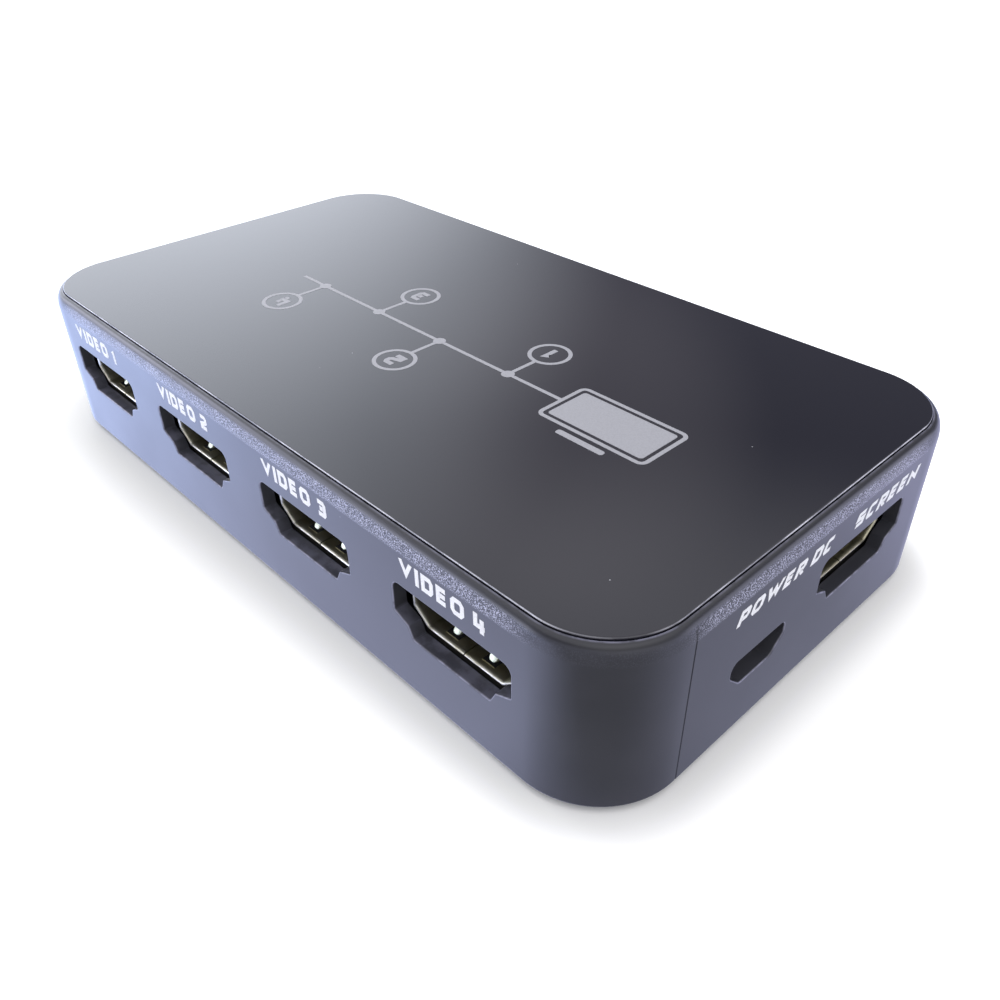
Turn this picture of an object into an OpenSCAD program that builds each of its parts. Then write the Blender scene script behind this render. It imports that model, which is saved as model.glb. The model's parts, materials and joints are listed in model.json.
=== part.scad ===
// Video switch box: a moulded case with a glossy top panel over a socket board.
// Four input sockets on the long side at -Y, the output and the power inlet on the short side at +X,
// and the select button, the lamps and the remote's window on the long side at +Y.

/* [Case] */
// Length of the case, along X
body_l = 108; // [98:0.5:130]
// Width of the case, along Y
body_w = 60; // [58:0.5:80]
// Height from the bottom edge of the walls to the face of the top panel
body_h = 19.8; // [18.6:0.1:28]
// Radius of the upright corners
corner_r = 9.7; // [6:0.1:13]
// Thickness of the side walls
wall = 1.6; // [1.4:0.1:2.2]
// Thickness of the shell's top, under the panel
deck_t = 1.5; // [1:0.1:2]
// Radius of the rounded edge round the top
rim_r = 1; // [0.6:0.05:1.2]
// Flat land between the rounded edge and the panel's recess
rim_land = 0.06; // [0.04:0.02:0.2]

/* [Top panel] */
// Thickness of the glossy panel
panel_t = 1.2; // [0.8:0.1:1.6]
// Height of the panel's face above the rim
panel_proud = 0.3; // [0.1:0.05:0.5]
// Gap between the panel and the side of its recess
panel_gap = 0.08; // [0.04:0.02:0.2]
// Bevel on the panel's upper edge
panel_bevel = 0.15; // [0.05:0.05:0.3]
// Thickness of the tape under the panel
tape_t = 0.2; // [0.1:0.05:0.4]
// Distance from the panel's edge to the tape's edge
tape_inset = 1.5; // [0.5:0.1:3]

/* [Base and feet] */
// Thickness of the base plate
base_t = 2; // [1.6:0.1:2.4]
// Gap between the base plate and the walls
base_gap = 0.15; // [0.05:0.05:0.3]
// Diameter of a rubber foot
foot_d = 8; // [6:0.5:9]
// Thickness of a rubber foot
foot_t = 1.6; // [1.2:0.1:1.8]
// Height of the feet below the base plate
foot_proud = 0.8; // [0.6:0.1:1.1]
// Gap between a foot and the side of its recess
foot_gap = 0.1; // [0.05:0.05:0.2]
// Distance from the ends of the case to the feet's centres
foot_inset_x = 18; // [17:0.5:24]
// Distance from the long sides of the case to the feet's centres
foot_inset_y = 10; // [9:0.5:14]

/* [Fasteners] */
// Thread diameter of a case screw
case_screw_d = 2.3; // [2:0.1:2.6]
// Length of a case screw under its head
case_screw_l = 8; // [6:0.5:10]
// Head diameter of a case screw
case_head_d = 4.2; // [3.8:0.1:4.6]
// Head height of a case screw
case_head_h = 1; // [0.8:0.1:1.1]
// Outer diameter of a case boss
boss_d = 5.6; // [4.6:0.1:6]
// Distance from the outer walls to a case boss's centre
boss_inset = 7; // [6.2:0.1:7.2]
// Thread diameter of a board screw
board_screw_d = 2; // [1.8:0.1:2.2]
// Length of a board screw under its head
board_screw_l = 6; // [5:0.5:7]
// Head diameter of a board screw
board_head_d = 3.6; // [3.2:0.1:4]
// Head height of a board screw
board_head_h = 1.2; // [0.8:0.1:1.5]
// Outer diameter of a board post
post_d = 4.4; // [4:0.1:5]
// Distance from the ends of the case to the rear posts
post_rear_inset = 14; // [13:0.5:15]
// Place of the rear posts along Y
post_rear_y = -7.5; // [-8:0.5:-7]
// Distance of the front posts from the middle, along X
post_front_x = 26; // [25:0.5:28]
// Place of the front posts along Y
post_front_y = 17; // [16:0.5:18]
// Gap between a thread and its pilot hole
thread_gap = 0.03; // [0.02:0.01:0.05]
// Gap round a screw in a hole that it passes
screw_gap = 0.2; // [0.1:0.05:0.3]
// Width of the cross recess in a screw head
cross_w = 0.6; // [0.4:0.1:0.8]

/* [Board] */
// Thickness of the circuit board
board_t = 1.6; // [1.2:0.1:1.8]
// Height of the board's upper face above the bottom edge of the walls
board_up = 7.9; // [7.4:0.1:9]
// Gap between the board's edge and the walls
board_gap = 0.5; // [0.3:0.1:0.7]
// Gap round a case boss in its hole in the board
boss_gap = 0.3; // [0.2:0.1:0.5]
// Gap round a solder leg in its hole in the board
leg_gap = 0.12; // [0.08:0.02:0.2]
// Gap between a notch in the board and what stands in it
notch_gap = 0.15; // [0.1:0.05:0.25]

/* [Video sockets] */
// Distance from the ends of the case to the middle of the outer input sockets
input_inset = 19.2; // [18.8:0.1:26]
// Place of the output socket along Y
output_y = 8.9; // [8.5:0.1:10]
// Inner width of a socket
socket_w = 14; // [13.8:0.05:14.2]
// Inner height of a socket
socket_h = 4.55; // [4.45:0.05:4.7]
// Inner width of a socket's floor
socket_floor_w = 10.2; // [9.8:0.1:10.6]
// Height where a socket's sides start to lean in
socket_side_h = 1.6; // [1.3:0.1:1.9]
// Length of a socket's metal sleeve
socket_depth = 11.6; // [10.5:0.1:12.2]
// Thickness of a socket's metal sheet
socket_sheet = 0.3; // [0.25:0.05:0.4]
// Gap between a sleeve's mouth and the wall
socket_gap = 0.15; // [0.1:0.05:0.3]
// Width of the folded seam along a sleeve's floor
seam_w = 0.1; // [0.06:0.02:0.16]
// Distance from the middle of a sleeve to its spring fingers
finger_x = 2.5; // [2.2:0.1:2.8]
// Width of a spring finger
finger_w = 1.3; // [1:0.1:1.6]
// Length of a spring finger
finger_l = 5; // [4:0.1:6]
// Distance from the mouth to a spring finger's tip
finger_set = 1.1; // [0.8:0.1:1.4]
// Width of the slit round a spring finger
finger_slit = 0.2; // [0.15:0.05:0.3]
// Height of the bump on a spring finger
bump_h = 0.22; // [0.1:0.02:0.3]
// Diameter of the bump on a spring finger
bump_d = 0.9; // [0.6:0.1:1.1]
// Width of a sleeve's solder leg
leg_w = 1.2; // [0.8:0.1:1.6]
// Distance from the mouth to the front solder legs
leg_front = 3; // [2:0.1:4]
// Distance from the front solder legs to the rear ones
leg_span = 5.9; // [4.5:0.1:6]
// Length of a solder leg below the board
leg_out = 0.8; // [0.4:0.1:1.2]
// Width of a socket's tongue
tongue_w = 11.8; // [11.6:0.05:12]
// Thickness of a socket's tongue
tongue_t = 1.6; // [1.4:0.05:1.7]
// Height of the tongue above a socket's floor
tongue_up = 1.75; // [1.6:0.05:1.9]
// Distance from the mouth to the tongue's tip
tongue_set = 1.3; // [1.2:0.05:1.6]
// Length of the block at the back of a socket
block_l = 4.4; // [3.5:0.1:5]
// Gap between a socket's block and its sleeve
block_gap = 0.05; // [0.02:0.01:0.1]
// Number of contacts on a tongue's upper face, one less on its lower face
contact_n = 10; // [6:1:10]
// Distance between neighbouring contacts on one face
contact_pitch = 1; // [0.9:0.05:1.1]
// Width of a contact
contact_w = 0.3; // [0.2:0.02:0.34]
// Thickness of a contact
contact_t = 0.15; // [0.1:0.01:0.2]
// Height of a contact above its groove
contact_proud = 0.04; // [0.02:0.01:0.06]
// Gap between a contact and the sides of its groove
contact_gap = 0.03; // [0.02:0.005:0.04]
// Distance from the tongue's tip to a contact's tip
contact_set = 0.6; // [0.4:0.1:1]
// Distance from a sleeve's back to the contacts' upright part
contact_back = 0.2; // [0.15:0.05:0.3]
// Length of a contact's foot on the board
contact_foot = 1.2; // [0.8:0.1:1.4]

/* [Socket cut-outs] */
// Gap between a sleeve's sides and its cut-out
port_side_gap = 0.7; // [0.5:0.05:0.9]
// Gap between a sleeve's top and its cut-out
port_top_gap = 0.4; // [0.2:0.05:0.6]
// Gap between a sleeve's underside and its cut-out
port_floor_gap = 0.5; // [0.3:0.05:0.7]
// Radius of a cut-out's upper corners
port_r = 1; // [0.6:0.1:1.4]
// Height of the cut-out's full width above its floor
port_step_h = 2.25; // [2:0.05:2.5]
// Height of the cut-out's shoulders above its floor
port_shoulder_h = 1.4; // [1.2:0.05:1.6]
// How far each shoulder stands in from the cut-out's side
port_shoulder_in = 2; // [1.6:0.1:2.3]
// How far each end of the cut-out's floor stands in from its side
port_floor_in = 2.7; // [2.4:0.1:3]

/* [Power inlet] */
// Place of the power inlet along Y
inlet_y = -8.9; // [-9.5:0.1:-8.5]
// Inner width of the inlet
inlet_w = 7; // [6.8:0.05:7.2]
// Inner height of the inlet
inlet_h = 1.75; // [1.7:0.05:1.9]
// Inner width of the inlet's floor
inlet_floor_w = 4.35; // [4:0.05:4.8]
// Height where the inlet's sides start to lean in
inlet_side_h = 1.3; // [1.1:0.05:1.4]
// Thickness of the inlet's metal sheet
inlet_sheet = 0.35; // [0.3:0.05:0.4]
// Length of the inlet's metal sleeve
inlet_depth = 5; // [4.5:0.1:5.6]
// Depth of the inlet's underside below the board's upper face
inlet_drop = 1.05; // [0.9:0.05:1.2]
// Gap between the inlet's sleeve and its cut-out
inlet_port_gap = 0.5; // [0.3:0.05:0.6]
// Width of a tab that rests on the board
tab_w = 1.6; // [1.2:0.1:2]
// Reach of a tab beyond the sleeve
tab_reach = 1.2; // [0.9:0.1:1.4]
// Distance from the mouth to the tabs
tab_set = 2.2; // [1.8:0.1:2.6]
// Width of the inlet's tongue
inlet_tongue_w = 3.8; // [3.6:0.05:4]
// Thickness of the inlet's tongue
inlet_tongue_t = 0.6; // [0.5:0.05:0.7]
// Height of the inlet's tongue above its floor
inlet_tongue_up = 0.9; // [0.85:0.05:0.95]
// Distance from the mouth to the inlet's tongue
inlet_tongue_set = 0.9; // [0.6:0.1:1.2]
// Length of the block at the back of the inlet
inlet_block_l = 1.8; // [1.5:0.1:2.2]
// Number of contacts in the inlet
inlet_contact_n = 5; // [3:1:5]
// Distance between neighbouring contacts in the inlet
inlet_contact_pitch = 0.65; // [0.6:0.05:0.7]

/* [Front controls] */
// Height of the button, lamps and window above the board
front_up = 2.2; // [2.1:0.05:2.6]
// Distance from the right end of the case to the middle of the button
button_inset = 18; // [17:0.5:20]
// Diameter of the button
button_d = 5.2; // [4.8:0.1:5.6]
// Height of the button's face beyond the wall
button_proud = 0.5; // [0.35:0.05:0.8]
// Travel of the button when it is pressed
button_travel = 0.25; // [0.15:0.05:0.3]
// Gap between the button and its hole
button_gap = 0.1; // [0.08:0.02:0.15]
// Play between the button's flange and the wall
button_play = 0.1; // [0.05:0.05:0.2]
// Reach of the button's flange round its shank
flange_reach = 0.8; // [0.6:0.1:1]
// Thickness of the button's flange
flange_t = 0.9; // [0.7:0.1:1.1]
// Diameter of the button's stem
stem_d = 2.4; // [2:0.1:2.8]
// Length of the button's stem
stem_l = 0.85; // [0.7:0.05:1.2]
// Bevel round the button's face
button_bevel = 0.3; // [0.2:0.05:0.4]
// Gap between the stem and the switch's plunger
stem_gap = 0.05; // [0.02:0.01:0.1]
// Width of the switch behind the button
switch_w = 6; // [5.6:0.1:6.4]
// Length of the switch's housing, along Y
switch_l = 3.5; // [3.2:0.1:4]
// Thickness of the switch's metal cover
cover_t = 0.2; // [0.15:0.05:0.3]
// Length of the cover's side clips
clip_l = 2; // [1.5:0.1:2.5]
// Diameter of the switch's well
well_d = 3.8; // [3.5:0.1:4]
// Depth of the switch's well
well_l = 1.6; // [1.5:0.1:2]
// Diameter of the plunger
plunger_d = 2; // [1.8:0.1:2.4]
// Diameter of the plunger's flange
plunger_flange_d = 3.2; // [3:0.1:3.4]
// Thickness of the plunger's flange
plunger_flange_t = 0.5; // [0.4:0.05:0.6]
// Length of the plunger outside the cover
plunger_out = 0.8; // [0.6:0.05:1]
// Gap round the plunger
plunger_gap = 0.1; // [0.05:0.05:0.15]
// Rise of the switch's dome
dome_h = 0.35; // [0.3:0.05:0.45]
// Thickness of the switch's dome
dome_t = 0.08; // [0.06:0.01:0.12]
// Number of lamps
lamp_n = 5; // [3:1:5]
// Distance between neighbouring lamps
lamp_pitch = 9; // [7:0.5:9.5]
// Diameter of a light pin
pin_d = 2; // [1.6:0.1:2.4]
// Gap between a light pin and its hole
pin_gap = 0.05; // [0.03:0.01:0.1]
// Thickness of the bar that joins the light pins
bar_t = 1.8; // [1.4:0.1:2]
// Gap between the bar and the wall
bar_gap = 0.1; // [0.05:0.05:0.2]
// Size of a lamp along X, Y and Z
lamp_size = [3, 1.2, 2]; // [0.8:0.1:3.4]
// Gap between a lamp and the bar
lamp_gap = 0.2; // [0.1:0.05:0.3]
// Distance from the left end of the case to the middle of the remote's window
window_inset = 18; // [17:0.5:20]
// Diameter of the remote's window
window_d = 5.2; // [4.8:0.1:5.6]
// Reach of the window's flange behind the wall
window_reach = 0.7; // [0.5:0.1:0.9]
// Thickness of the window's flange
window_flange_t = 0.8; // [0.6:0.1:1]
// Size of the remote's receiver along X, Y and Z
receiver_size = [6, 2.6, 5.6]; // [2.2:0.1:6.4]
// Diameter of the receiver's lens
receiver_lens_d = 3.6; // [3:0.1:3.8]
// Gap between the receiver's lens and the window
receiver_gap = 0.3; // [0.2:0.1:0.6]
// Distance between the receiver's leads
receiver_lead_pitch = 1.9; // [1.6:0.1:2.2]
// Thickness of a receiver's lead
receiver_lead_w = 0.5; // [0.4:0.05:0.6]

/* [Chips] */
// Width of the switch chip, along each side
chip_w = 10; // [8:0.5:11]
// Height of the switch chip's body
chip_h = 1.4; // [1:0.1:1.6]
// Number of leads on each side of the switch chip
chip_lead_n = 16; // [10:1:16]
// Place of the switch chip, X and Y
chip_at = [4, 2]; // [0:0.5:5]
// Length of the control chip, along X
control_l = 9.9; // [8:0.1:11]
// Width of the control chip, along Y
control_w = 3.9; // [3.5:0.1:4.5]
// Height of the control chip's body
control_h = 1.4; // [1:0.1:1.6]
// Number of leads on each side of the control chip
control_lead_n = 8; // [4:1:8]
// Place of the control chip, X and Y
control_at = [-22, 4]; // [-24:0.5:6]
// Reach of a chip's leads beyond its body
lead_reach = 1; // [0.8:0.1:1.2]
// Thickness of a chip's lead
lead_t = 0.15; // [0.1:0.01:0.2]
// Gap between a chip's body and the board
chip_stand = 0.1; // [0.05:0.05:0.2]
// Size of the voltage regulator along X, Y and Z
regulator_size = [6.5, 3.5, 1.6]; // [1.4:0.1:7]
// Place of the voltage regulator, X and Y
regulator_at = [26, -7]; // [-8:0.5:28]
// Size of the crystal along X, Y and Z
crystal_size = [11.4, 4.8, 4.2]; // [3.6:0.1:12]
// Place of the crystal, X and Y
crystal_at = [-22, -6]; // [-24:0.5:-4]
// Diameter of a bulk capacitor
bulk_d = 5; // [4:0.1:5.5]
// Height of a bulk capacitor
bulk_h = 5.4; // [4.6:0.1:6]
// Place of the first bulk capacitor, X and Y
bulk_a_at = [20, 6]; // [5:0.5:21]
// Place of the second bulk capacitor, X and Y
bulk_b_at = [-36, 6]; // [-38:0.5:8]
// Size of the power inductor along X, Y and Z
inductor_size = [5, 5, 2.8]; // [2:0.1:5.4]
// Place of the power inductor, X and Y
inductor_at = [29, 4]; // [2:0.5:30]
// Size of a protection array along X, Y and Z
array_size = [3, 2.4, 1]; // [0.8:0.1:3.2]
// Distance from a socket's contacts to its protection array
array_set = 1; // [0.6:0.1:1.6]
// Size of a chip resistor along X, Y and Z
resistor_size = [0.8, 1.6, 0.5]; // [0.4:0.1:1.8]
// Distance between neighbouring chip resistors
resistor_pitch = 2; // [1.6:0.1:2.4]
// Number of chip resistors in their row
resistor_n = 14; // [6:1:16]
// Place of the row of chip resistors along Y
resistor_y = 13; // [12:0.5:14]
// Size of a chip capacitor along X, Y and Z
capacitor_size = [0.8, 1.6, 0.8]; // [0.4:0.1:1.8]
// Distance between neighbouring chip capacitors
capacitor_pitch = 2.6; // [2:0.1:3]
// Number of chip capacitors in their row
capacitor_n = 8; // [4:1:9]
// Place of the row of chip capacitors along Y
capacitor_y = -8.5; // [-9:0.5:-8]

/* [Hidden] */
$fn = 64;
// Overrun of a cut past the face that it opens
cut = 0.1;
// Overlap of two solids that are moulded as one
lap = 0.3;

// Heights above the surface that the feet stand on
edge_z = foot_proud;
base_z = edge_z + base_t;
top_z = edge_z + body_h;
rim_z = top_z - panel_proud;
recess_z = top_z - panel_t - tape_t;
deck_z = recess_z - deck_t;
board_z = edge_z + board_up;
under_z = board_z - board_t;
front_z = board_z + front_up;

// Outlines that share the case's corner centres
recess_in = rim_r + rim_land;
panel_in = recess_in + panel_gap;
tape_in = panel_in + tape_inset;
base_in = wall + base_gap;
board_in = wall + board_gap;

// Inner faces of the walls
wall_x = body_l / 2 - wall;
wall_y = body_w / 2 - wall;

// Places of what repeats
corners = [for (x = [-1, 1], y = [-1, 1]) [x, y]];
socket_pitch = (body_l - 2 * input_inset) / 3;
input_x = [for (i = [0:3]) (i - 1.5) * socket_pitch];
boss_at = [for (c = corners) [c.x * (body_l / 2 - boss_inset), c.y * (body_w / 2 - boss_inset)]];
foot_at = [for (c = corners) [c.x * (body_l / 2 - foot_inset_x), c.y * (body_w / 2 - foot_inset_y)]];
post_rear_x = body_l / 2 - post_rear_inset;
post_at = [for (side = [-1, 1], end = [[post_rear_x, post_rear_y], [post_front_x, post_front_y]])
    [side * end.x, end.y]];
button_x = body_l / 2 - button_inset;
window_x = window_inset - body_l / 2;
lamp_x =[for (i = [0:lamp_n - 1]) (i - (lamp_n - 1) / 2) * lamp_pitch];

// Sizes of the bosses' and posts' pilot holes, and of the heads' seats
head_seat = case_head_h + cut;
case_thread_l = case_screw_l - (base_t - head_seat);
board_thread_l = board_screw_l - board_t;

// Heights inside a video socket, from the board's upper face
floor_up = socket_sheet;
tongue_low = floor_up + tongue_up;
tongue_high = tongue_low + tongue_t;
contact_high = tongue_high - contact_t + contact_proud;
contact_low = tongue_low - contact_proud;
contact_tip = tongue_set + contact_set;
contact_end = socket_depth + contact_back + contact_foot;

// Heights inside the power inlet, from the board's upper face
inlet_floor = inlet_sheet - inlet_drop;
inlet_tongue_low = inlet_floor + inlet_tongue_up;
inlet_contact_z = inlet_tongue_low - contact_proud;
inlet_contact_tip = inlet_tongue_set + contact_set;
inlet_half = inlet_w / 2 + inlet_sheet;

// Places of the front controls along Y, from the wall inwards
flange_y = wall_y - button_play;
stem_y = flange_y - flange_t - stem_l;
plunger_y = stem_y - stem_gap;
cover_y = plunger_y - plunger_out;
switch_y = cover_y - cover_t;
plunger_back_y = switch_y - plunger_gap - plunger_flange_t;
well_y = switch_y - well_l;
bar_y = wall_y - bar_gap;
window_back_y = wall_y - window_flange_t;
lens_y = window_back_y - receiver_gap;
receiver_y = lens_y - receiver_lens_d / 2;

SOCKETS = ["input_1", "input_2", "input_3", "input_4", "output"];
SOCKET_PIECES = ["shell", "insulator", "contacts"];

// Rounded outline of the case, moved in by one distance all round
module case_outline(inset) {
    l = body_l - 2 * inset;
    w = body_w - 2 * inset;
    r = corner_r - inset;
    square([l, w - 2 * r], center = true);
    square([l - 2 * r, w], center = true);
    for (c = corners)
        translate([c.x * (l / 2 - r), c.y * (w / 2 - r)])
            circle(r);
}

// Upright slab of the case's outline between two heights
module case_slab(inset, low, high) {
    translate([0, 0, low])
        linear_extrude(high - low)
            case_outline(inset);
}

// Slab of the case's outline whose edge follows a section drawn from the corner's axis outwards
module edged_slab() {
    straight_l = body_l - 2 * corner_r;
    straight_w = body_w - 2 * corner_r;
    for (turn = [0:3]) {
        side = [[1, 1], [-1, 1], [-1, -1], [1, -1]][turn];
        translate([side.x * straight_l / 2, side.y * straight_w / 2, 0])
            rotate([0, 0, 90 * turn])
                rotate_extrude(angle = 90)
                    children(0);
    }
    for (side = [0, 1]) {
        mirror([0, side, 0])
            translate([-straight_l / 2, straight_w / 2, 0])
                rotate([90, 0, 90])
                    linear_extrude(straight_l)
                        children(0);
        mirror([side, 0, 0])
            translate([straight_l / 2, straight_w / 2, 0])
                rotate([90, 0, 0])
                    linear_extrude(straight_w)
                        children(0);
    }
    children(1);
}

// Section of the shell's wall and rounded upper edge
module rim_section() {
    translate([0, edge_z])
        square([corner_r, rim_z - rim_r - edge_z]);
    translate([0, edge_z])
        square([corner_r - rim_r, rim_z - edge_z]);
    translate([corner_r - rim_r, rim_z - rim_r])
        circle(rim_r);
}

// Section of the panel with its bevelled upper edge
module panel_section() {
    r = corner_r - panel_in;
    polygon([[0, recess_z + tape_t], [r, recess_z + tape_t], [r, top_z - panel_bevel],
             [r - panel_bevel, top_z], [0, top_z]]);
}

// Block that fills the middle of the case between two heights
module case_core(low, high) {
    l = body_l - 2 * corner_r;
    w = body_w - 2 * corner_r;
    translate([-l / 2, -w / 2, low])
        cube([l, w, high - low]);
}

// A section drawn in X and Z, carried along +Y
module along_y(length) {
    translate([0, length, 0])
        rotate([90, 0, 0])
            linear_extrude(length)
                children();
}

// A section drawn in Y and Z, carried along +X and centred there
module along_x(length) {
    rotate([90, 0, 90])
        linear_extrude(length, center = true)
            children();
}

// A round pin or hole along +Y at the height of the front controls
module front_round(x, from_y, to_y, d) {
    translate([x, from_y, front_z])
        rotate([-90, 0, 0])
            cylinder(h = to_y - from_y, d = d);
}

// Puts a socket's pieces behind the wall: mouth at the origin facing -Y, board at z = 0
module at_input(i) {
    translate([input_x[i], -wall_y + socket_gap, board_z])
        children();
}

module at_side(y) {
    translate([wall_x - socket_gap, y, board_z])
        rotate([0, 0, 90])
            children();
}

module at_sockets() {
    for (i = [0:3])
        at_input(i)
            children();
    at_side(output_y)
        children();
}

// Outline of a socket with a flat floor and lower sides that lean in, grown by one distance all round
function lean_outline(w, h, floor_w, side_h, grow) =
    let (lean = atan((w - floor_w) / 2 / side_h),
         side_z = side_h - grow * tan(lean / 2),
         floor_half = floor_w / 2 + grow * tan((90 - lean) / 2),
         half = w / 2 + grow)
    [[half, h + grow], [-half, h + grow], [-half, side_z],
     [-floor_half, -grow], [floor_half, -grow], [half, side_z]];

function video_outline(grow) = lean_outline(socket_w, socket_h, socket_floor_w, socket_side_h, grow);

function inlet_outline(grow) = lean_outline(inlet_w, inlet_h, inlet_floor_w, inlet_side_h, grow);

// Opening in the wall in front of a video socket
module video_port() {
    half = socket_w / 2 + socket_sheet + port_side_gap;
    low = -port_floor_gap;
    high = socket_h + 2 * socket_sheet + port_top_gap;
    translate([0, -socket_gap - wall - cut, 0])
        along_y(wall + 2 * cut) {
            polygon([[half, high - port_r], [half - port_r, high], [port_r - half, high],
                     [-half, high - port_r], [-half, low + port_step_h],
                     [port_shoulder_in - half, low + port_shoulder_h], [port_floor_in - half, low],
                     [half - port_floor_in, low], [half - port_shoulder_in, low + port_shoulder_h],
                     [half, low + port_step_h]]);
            for (side = [-1, 1])
                translate([side * (half - port_r), high - port_r])
                    circle(port_r);
        }
}

// Opening in the wall in front of the power inlet
module inlet_port() {
    translate([0, -socket_gap - wall - cut, inlet_floor])
        along_y(wall + 2 * cut)
            polygon(inlet_outline(inlet_sheet + inlet_port_gap));
}

module upper_shell() {
    color([0.16, 0.16, 0.19])
        difference() {
            union() {
                difference() {
                    edged_slab() {
                        rim_section();
                        case_core(edge_z, rim_z);
                    }
                    case_slab(wall, edge_z - cut, deck_z);
                    case_slab(recess_in, recess_z, rim_z + cut);
                }
                for (p = boss_at)
                    translate([p.x, p.y, base_z])
                        cylinder(h = deck_z + lap - base_z, d = boss_d);
                for (p = post_at)
                    translate([p.x, p.y, board_z])
                        cylinder(h = deck_z + lap - board_z, d = post_d);
            }
            for (p = boss_at)
                translate([p.x, p.y, base_z - cut])
                    cylinder(h = case_thread_l + 2 * cut, d = case_screw_d + 2 * thread_gap);
            for (p = post_at)
                translate([p.x, p.y, board_z - cut])
                    cylinder(h = board_thread_l + 2 * cut, d = board_screw_d + 2 * thread_gap);
            at_sockets()
                video_port();
            at_side(inlet_y)
                inlet_port();
            front_round(button_x, wall_y - cut, body_w / 2 + cut, button_d + 2 * button_gap);
            front_round(window_x, wall_y - cut, body_w / 2 + cut, window_d + 2 * pin_gap);
            for (x = lamp_x)
                front_round(x, wall_y - cut, body_w / 2 + cut, pin_d + 2 * pin_gap);
        }
}

module top_panel() {
    color([0.04, 0.04, 0.05])
        edged_slab() {
            panel_section();
            case_core(recess_z + tape_t, top_z);
        }
}

module panel_tape() {
    color("white")
        case_slab(tape_in, recess_z, recess_z + tape_t);
}

module base_plate() {
    color([0.14, 0.14, 0.16])
        difference() {
            case_slab(base_in, edge_z, base_z);
            for (p = foot_at)
                translate([p.x, p.y, -cut])
                    cylinder(h = foot_t + cut, d = foot_d + 2 * foot_gap);
            for (p = boss_at)
                translate([p.x, p.y, edge_z - cut]) {
                    cylinder(h = base_t + 2 * cut, d = case_screw_d + 2 * screw_gap);
                    cylinder(h = head_seat + cut, d = case_head_d + 2 * screw_gap);
                }
        }
}

module rubber_feet() {
    color([0.08, 0.08, 0.08])
        for (p = foot_at)
            translate([p.x, p.y, 0])
                cylinder(h = foot_t, d = foot_d);
}

// A screw with its head's face at z = 0, pointing up, and a cross recess in the head
module screw(thread_d, length, head_d, head_h) {
    difference() {
        union() {
            cylinder(h = head_h, d = head_d);
            cylinder(h = head_h + length, d = thread_d);
        }
        for (turn = [0, 90])
            rotate([0, 0, turn])
                translate([-head_d / 4, -cross_w / 2, -cut])
                    cube([head_d / 2, cross_w, head_h / 2 + cut]);
    }
}

module case_screws() {
    color("silver")
        for (p = boss_at)
            translate([p.x, p.y, edge_z + head_seat - case_head_h])
                screw(case_screw_d, case_screw_l, case_head_d, case_head_h);
}

module main_board() {
    color([0.05, 0.3, 0.15])
        difference() {
            case_slab(board_in, under_z, board_z);
            for (p = boss_at)
                translate([p.x, p.y, under_z - cut])
                    cylinder(h = board_t + 2 * cut, d = boss_d + 2 * boss_gap);
            for (p = post_at)
                translate([p.x, p.y, under_z - cut])
                    cylinder(h = board_t + 2 * cut, d = board_screw_d + 2 * screw_gap);
            at_sockets()
                leg_row(leg_gap, -board_t - cut, cut);
            at_side(inlet_y)
                translate([-inlet_half - notch_gap, -board_gap - cut, -board_t - cut])
                    cube([2 * (inlet_half + notch_gap), board_gap + inlet_depth + notch_gap + cut,
                          board_t + 2 * cut]);
            receiver_leads(leg_gap, under_z - cut, board_z + cut);
            front_notch(button_x, button_d + 2 * flange_reach, flange_y - flange_t - button_travel);
            front_notch(window_x, window_d + 2 * window_reach, window_back_y);
        }
}

// Notch in the board's front edge for a flange that ends at the given place along Y
module front_notch(x, width, back_y) {
    w = width + 2 * notch_gap;
    translate([x - w / 2, back_y - notch_gap, under_z - cut])
        cube([w, wall_y - back_y + notch_gap, board_t + 2 * cut]);
}

module board_screws() {
    color("silver")
        for (p = post_at)
            translate([p.x, p.y, under_z - board_head_h])
                screw(board_screw_d, board_screw_l, board_head_d, board_head_h);
}

// The four solder legs of a video socket's sleeve, grown by one gap, between two heights
module leg_row(gap, low, high) {
    for (side = [-1, 1], y = [leg_front, leg_front + leg_span])
        translate([side * (socket_w + socket_sheet) / 2 - socket_sheet / 2 - gap, y - gap, low])
            cube([socket_sheet + 2 * gap, leg_w + 2 * gap, high - low]);
}

// Slit round a spring finger, through the sheet whose lower face is at the given height
module finger_slits(z) {
    for (side = [-1, 1])
        translate([side * finger_x, finger_set, z - cut]) {
            translate([-finger_w / 2 - finger_slit, -finger_slit, 0])
                cube([finger_w + 2 * finger_slit, finger_slit, socket_sheet + 2 * cut]);
            for (edge = [-finger_w / 2 - finger_slit, finger_w / 2])
                translate([edge, -finger_slit, 0])
                    cube([finger_slit, finger_l + finger_slit, socket_sheet + 2 * cut]);
        }
}

module video_shell() {
    roof_up = floor_up + socket_h;
    color([0.78, 0.76, 0.7]) {
        difference() {
            translate([0, 0, floor_up])
                along_y(socket_depth)
                    difference() {
                        polygon(video_outline(socket_sheet));
                        polygon(video_outline(0));
                    }
            translate([-seam_w / 2, -cut, -cut])
                cube([seam_w, socket_depth + 2 * cut, socket_sheet + 2 * cut]);
            finger_slits(0);
            finger_slits(roof_up);
        }
        leg_row(0, -board_t - leg_out, floor_up + socket_side_h + lap);
        for (side = [-1, 1])
            translate([side * finger_x, finger_set + bump_d / 2, 0]) {
                translate([0, 0, floor_up - socket_sheet / 2])
                    cylinder(h = bump_h + socket_sheet / 2, d1 = bump_d, d2 = bump_d / 2);
                translate([0, 0, roof_up - bump_h])
                    cylinder(h = bump_h + socket_sheet / 2, d1 = bump_d / 2, d2 = bump_d);
            }
    }
}

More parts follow.
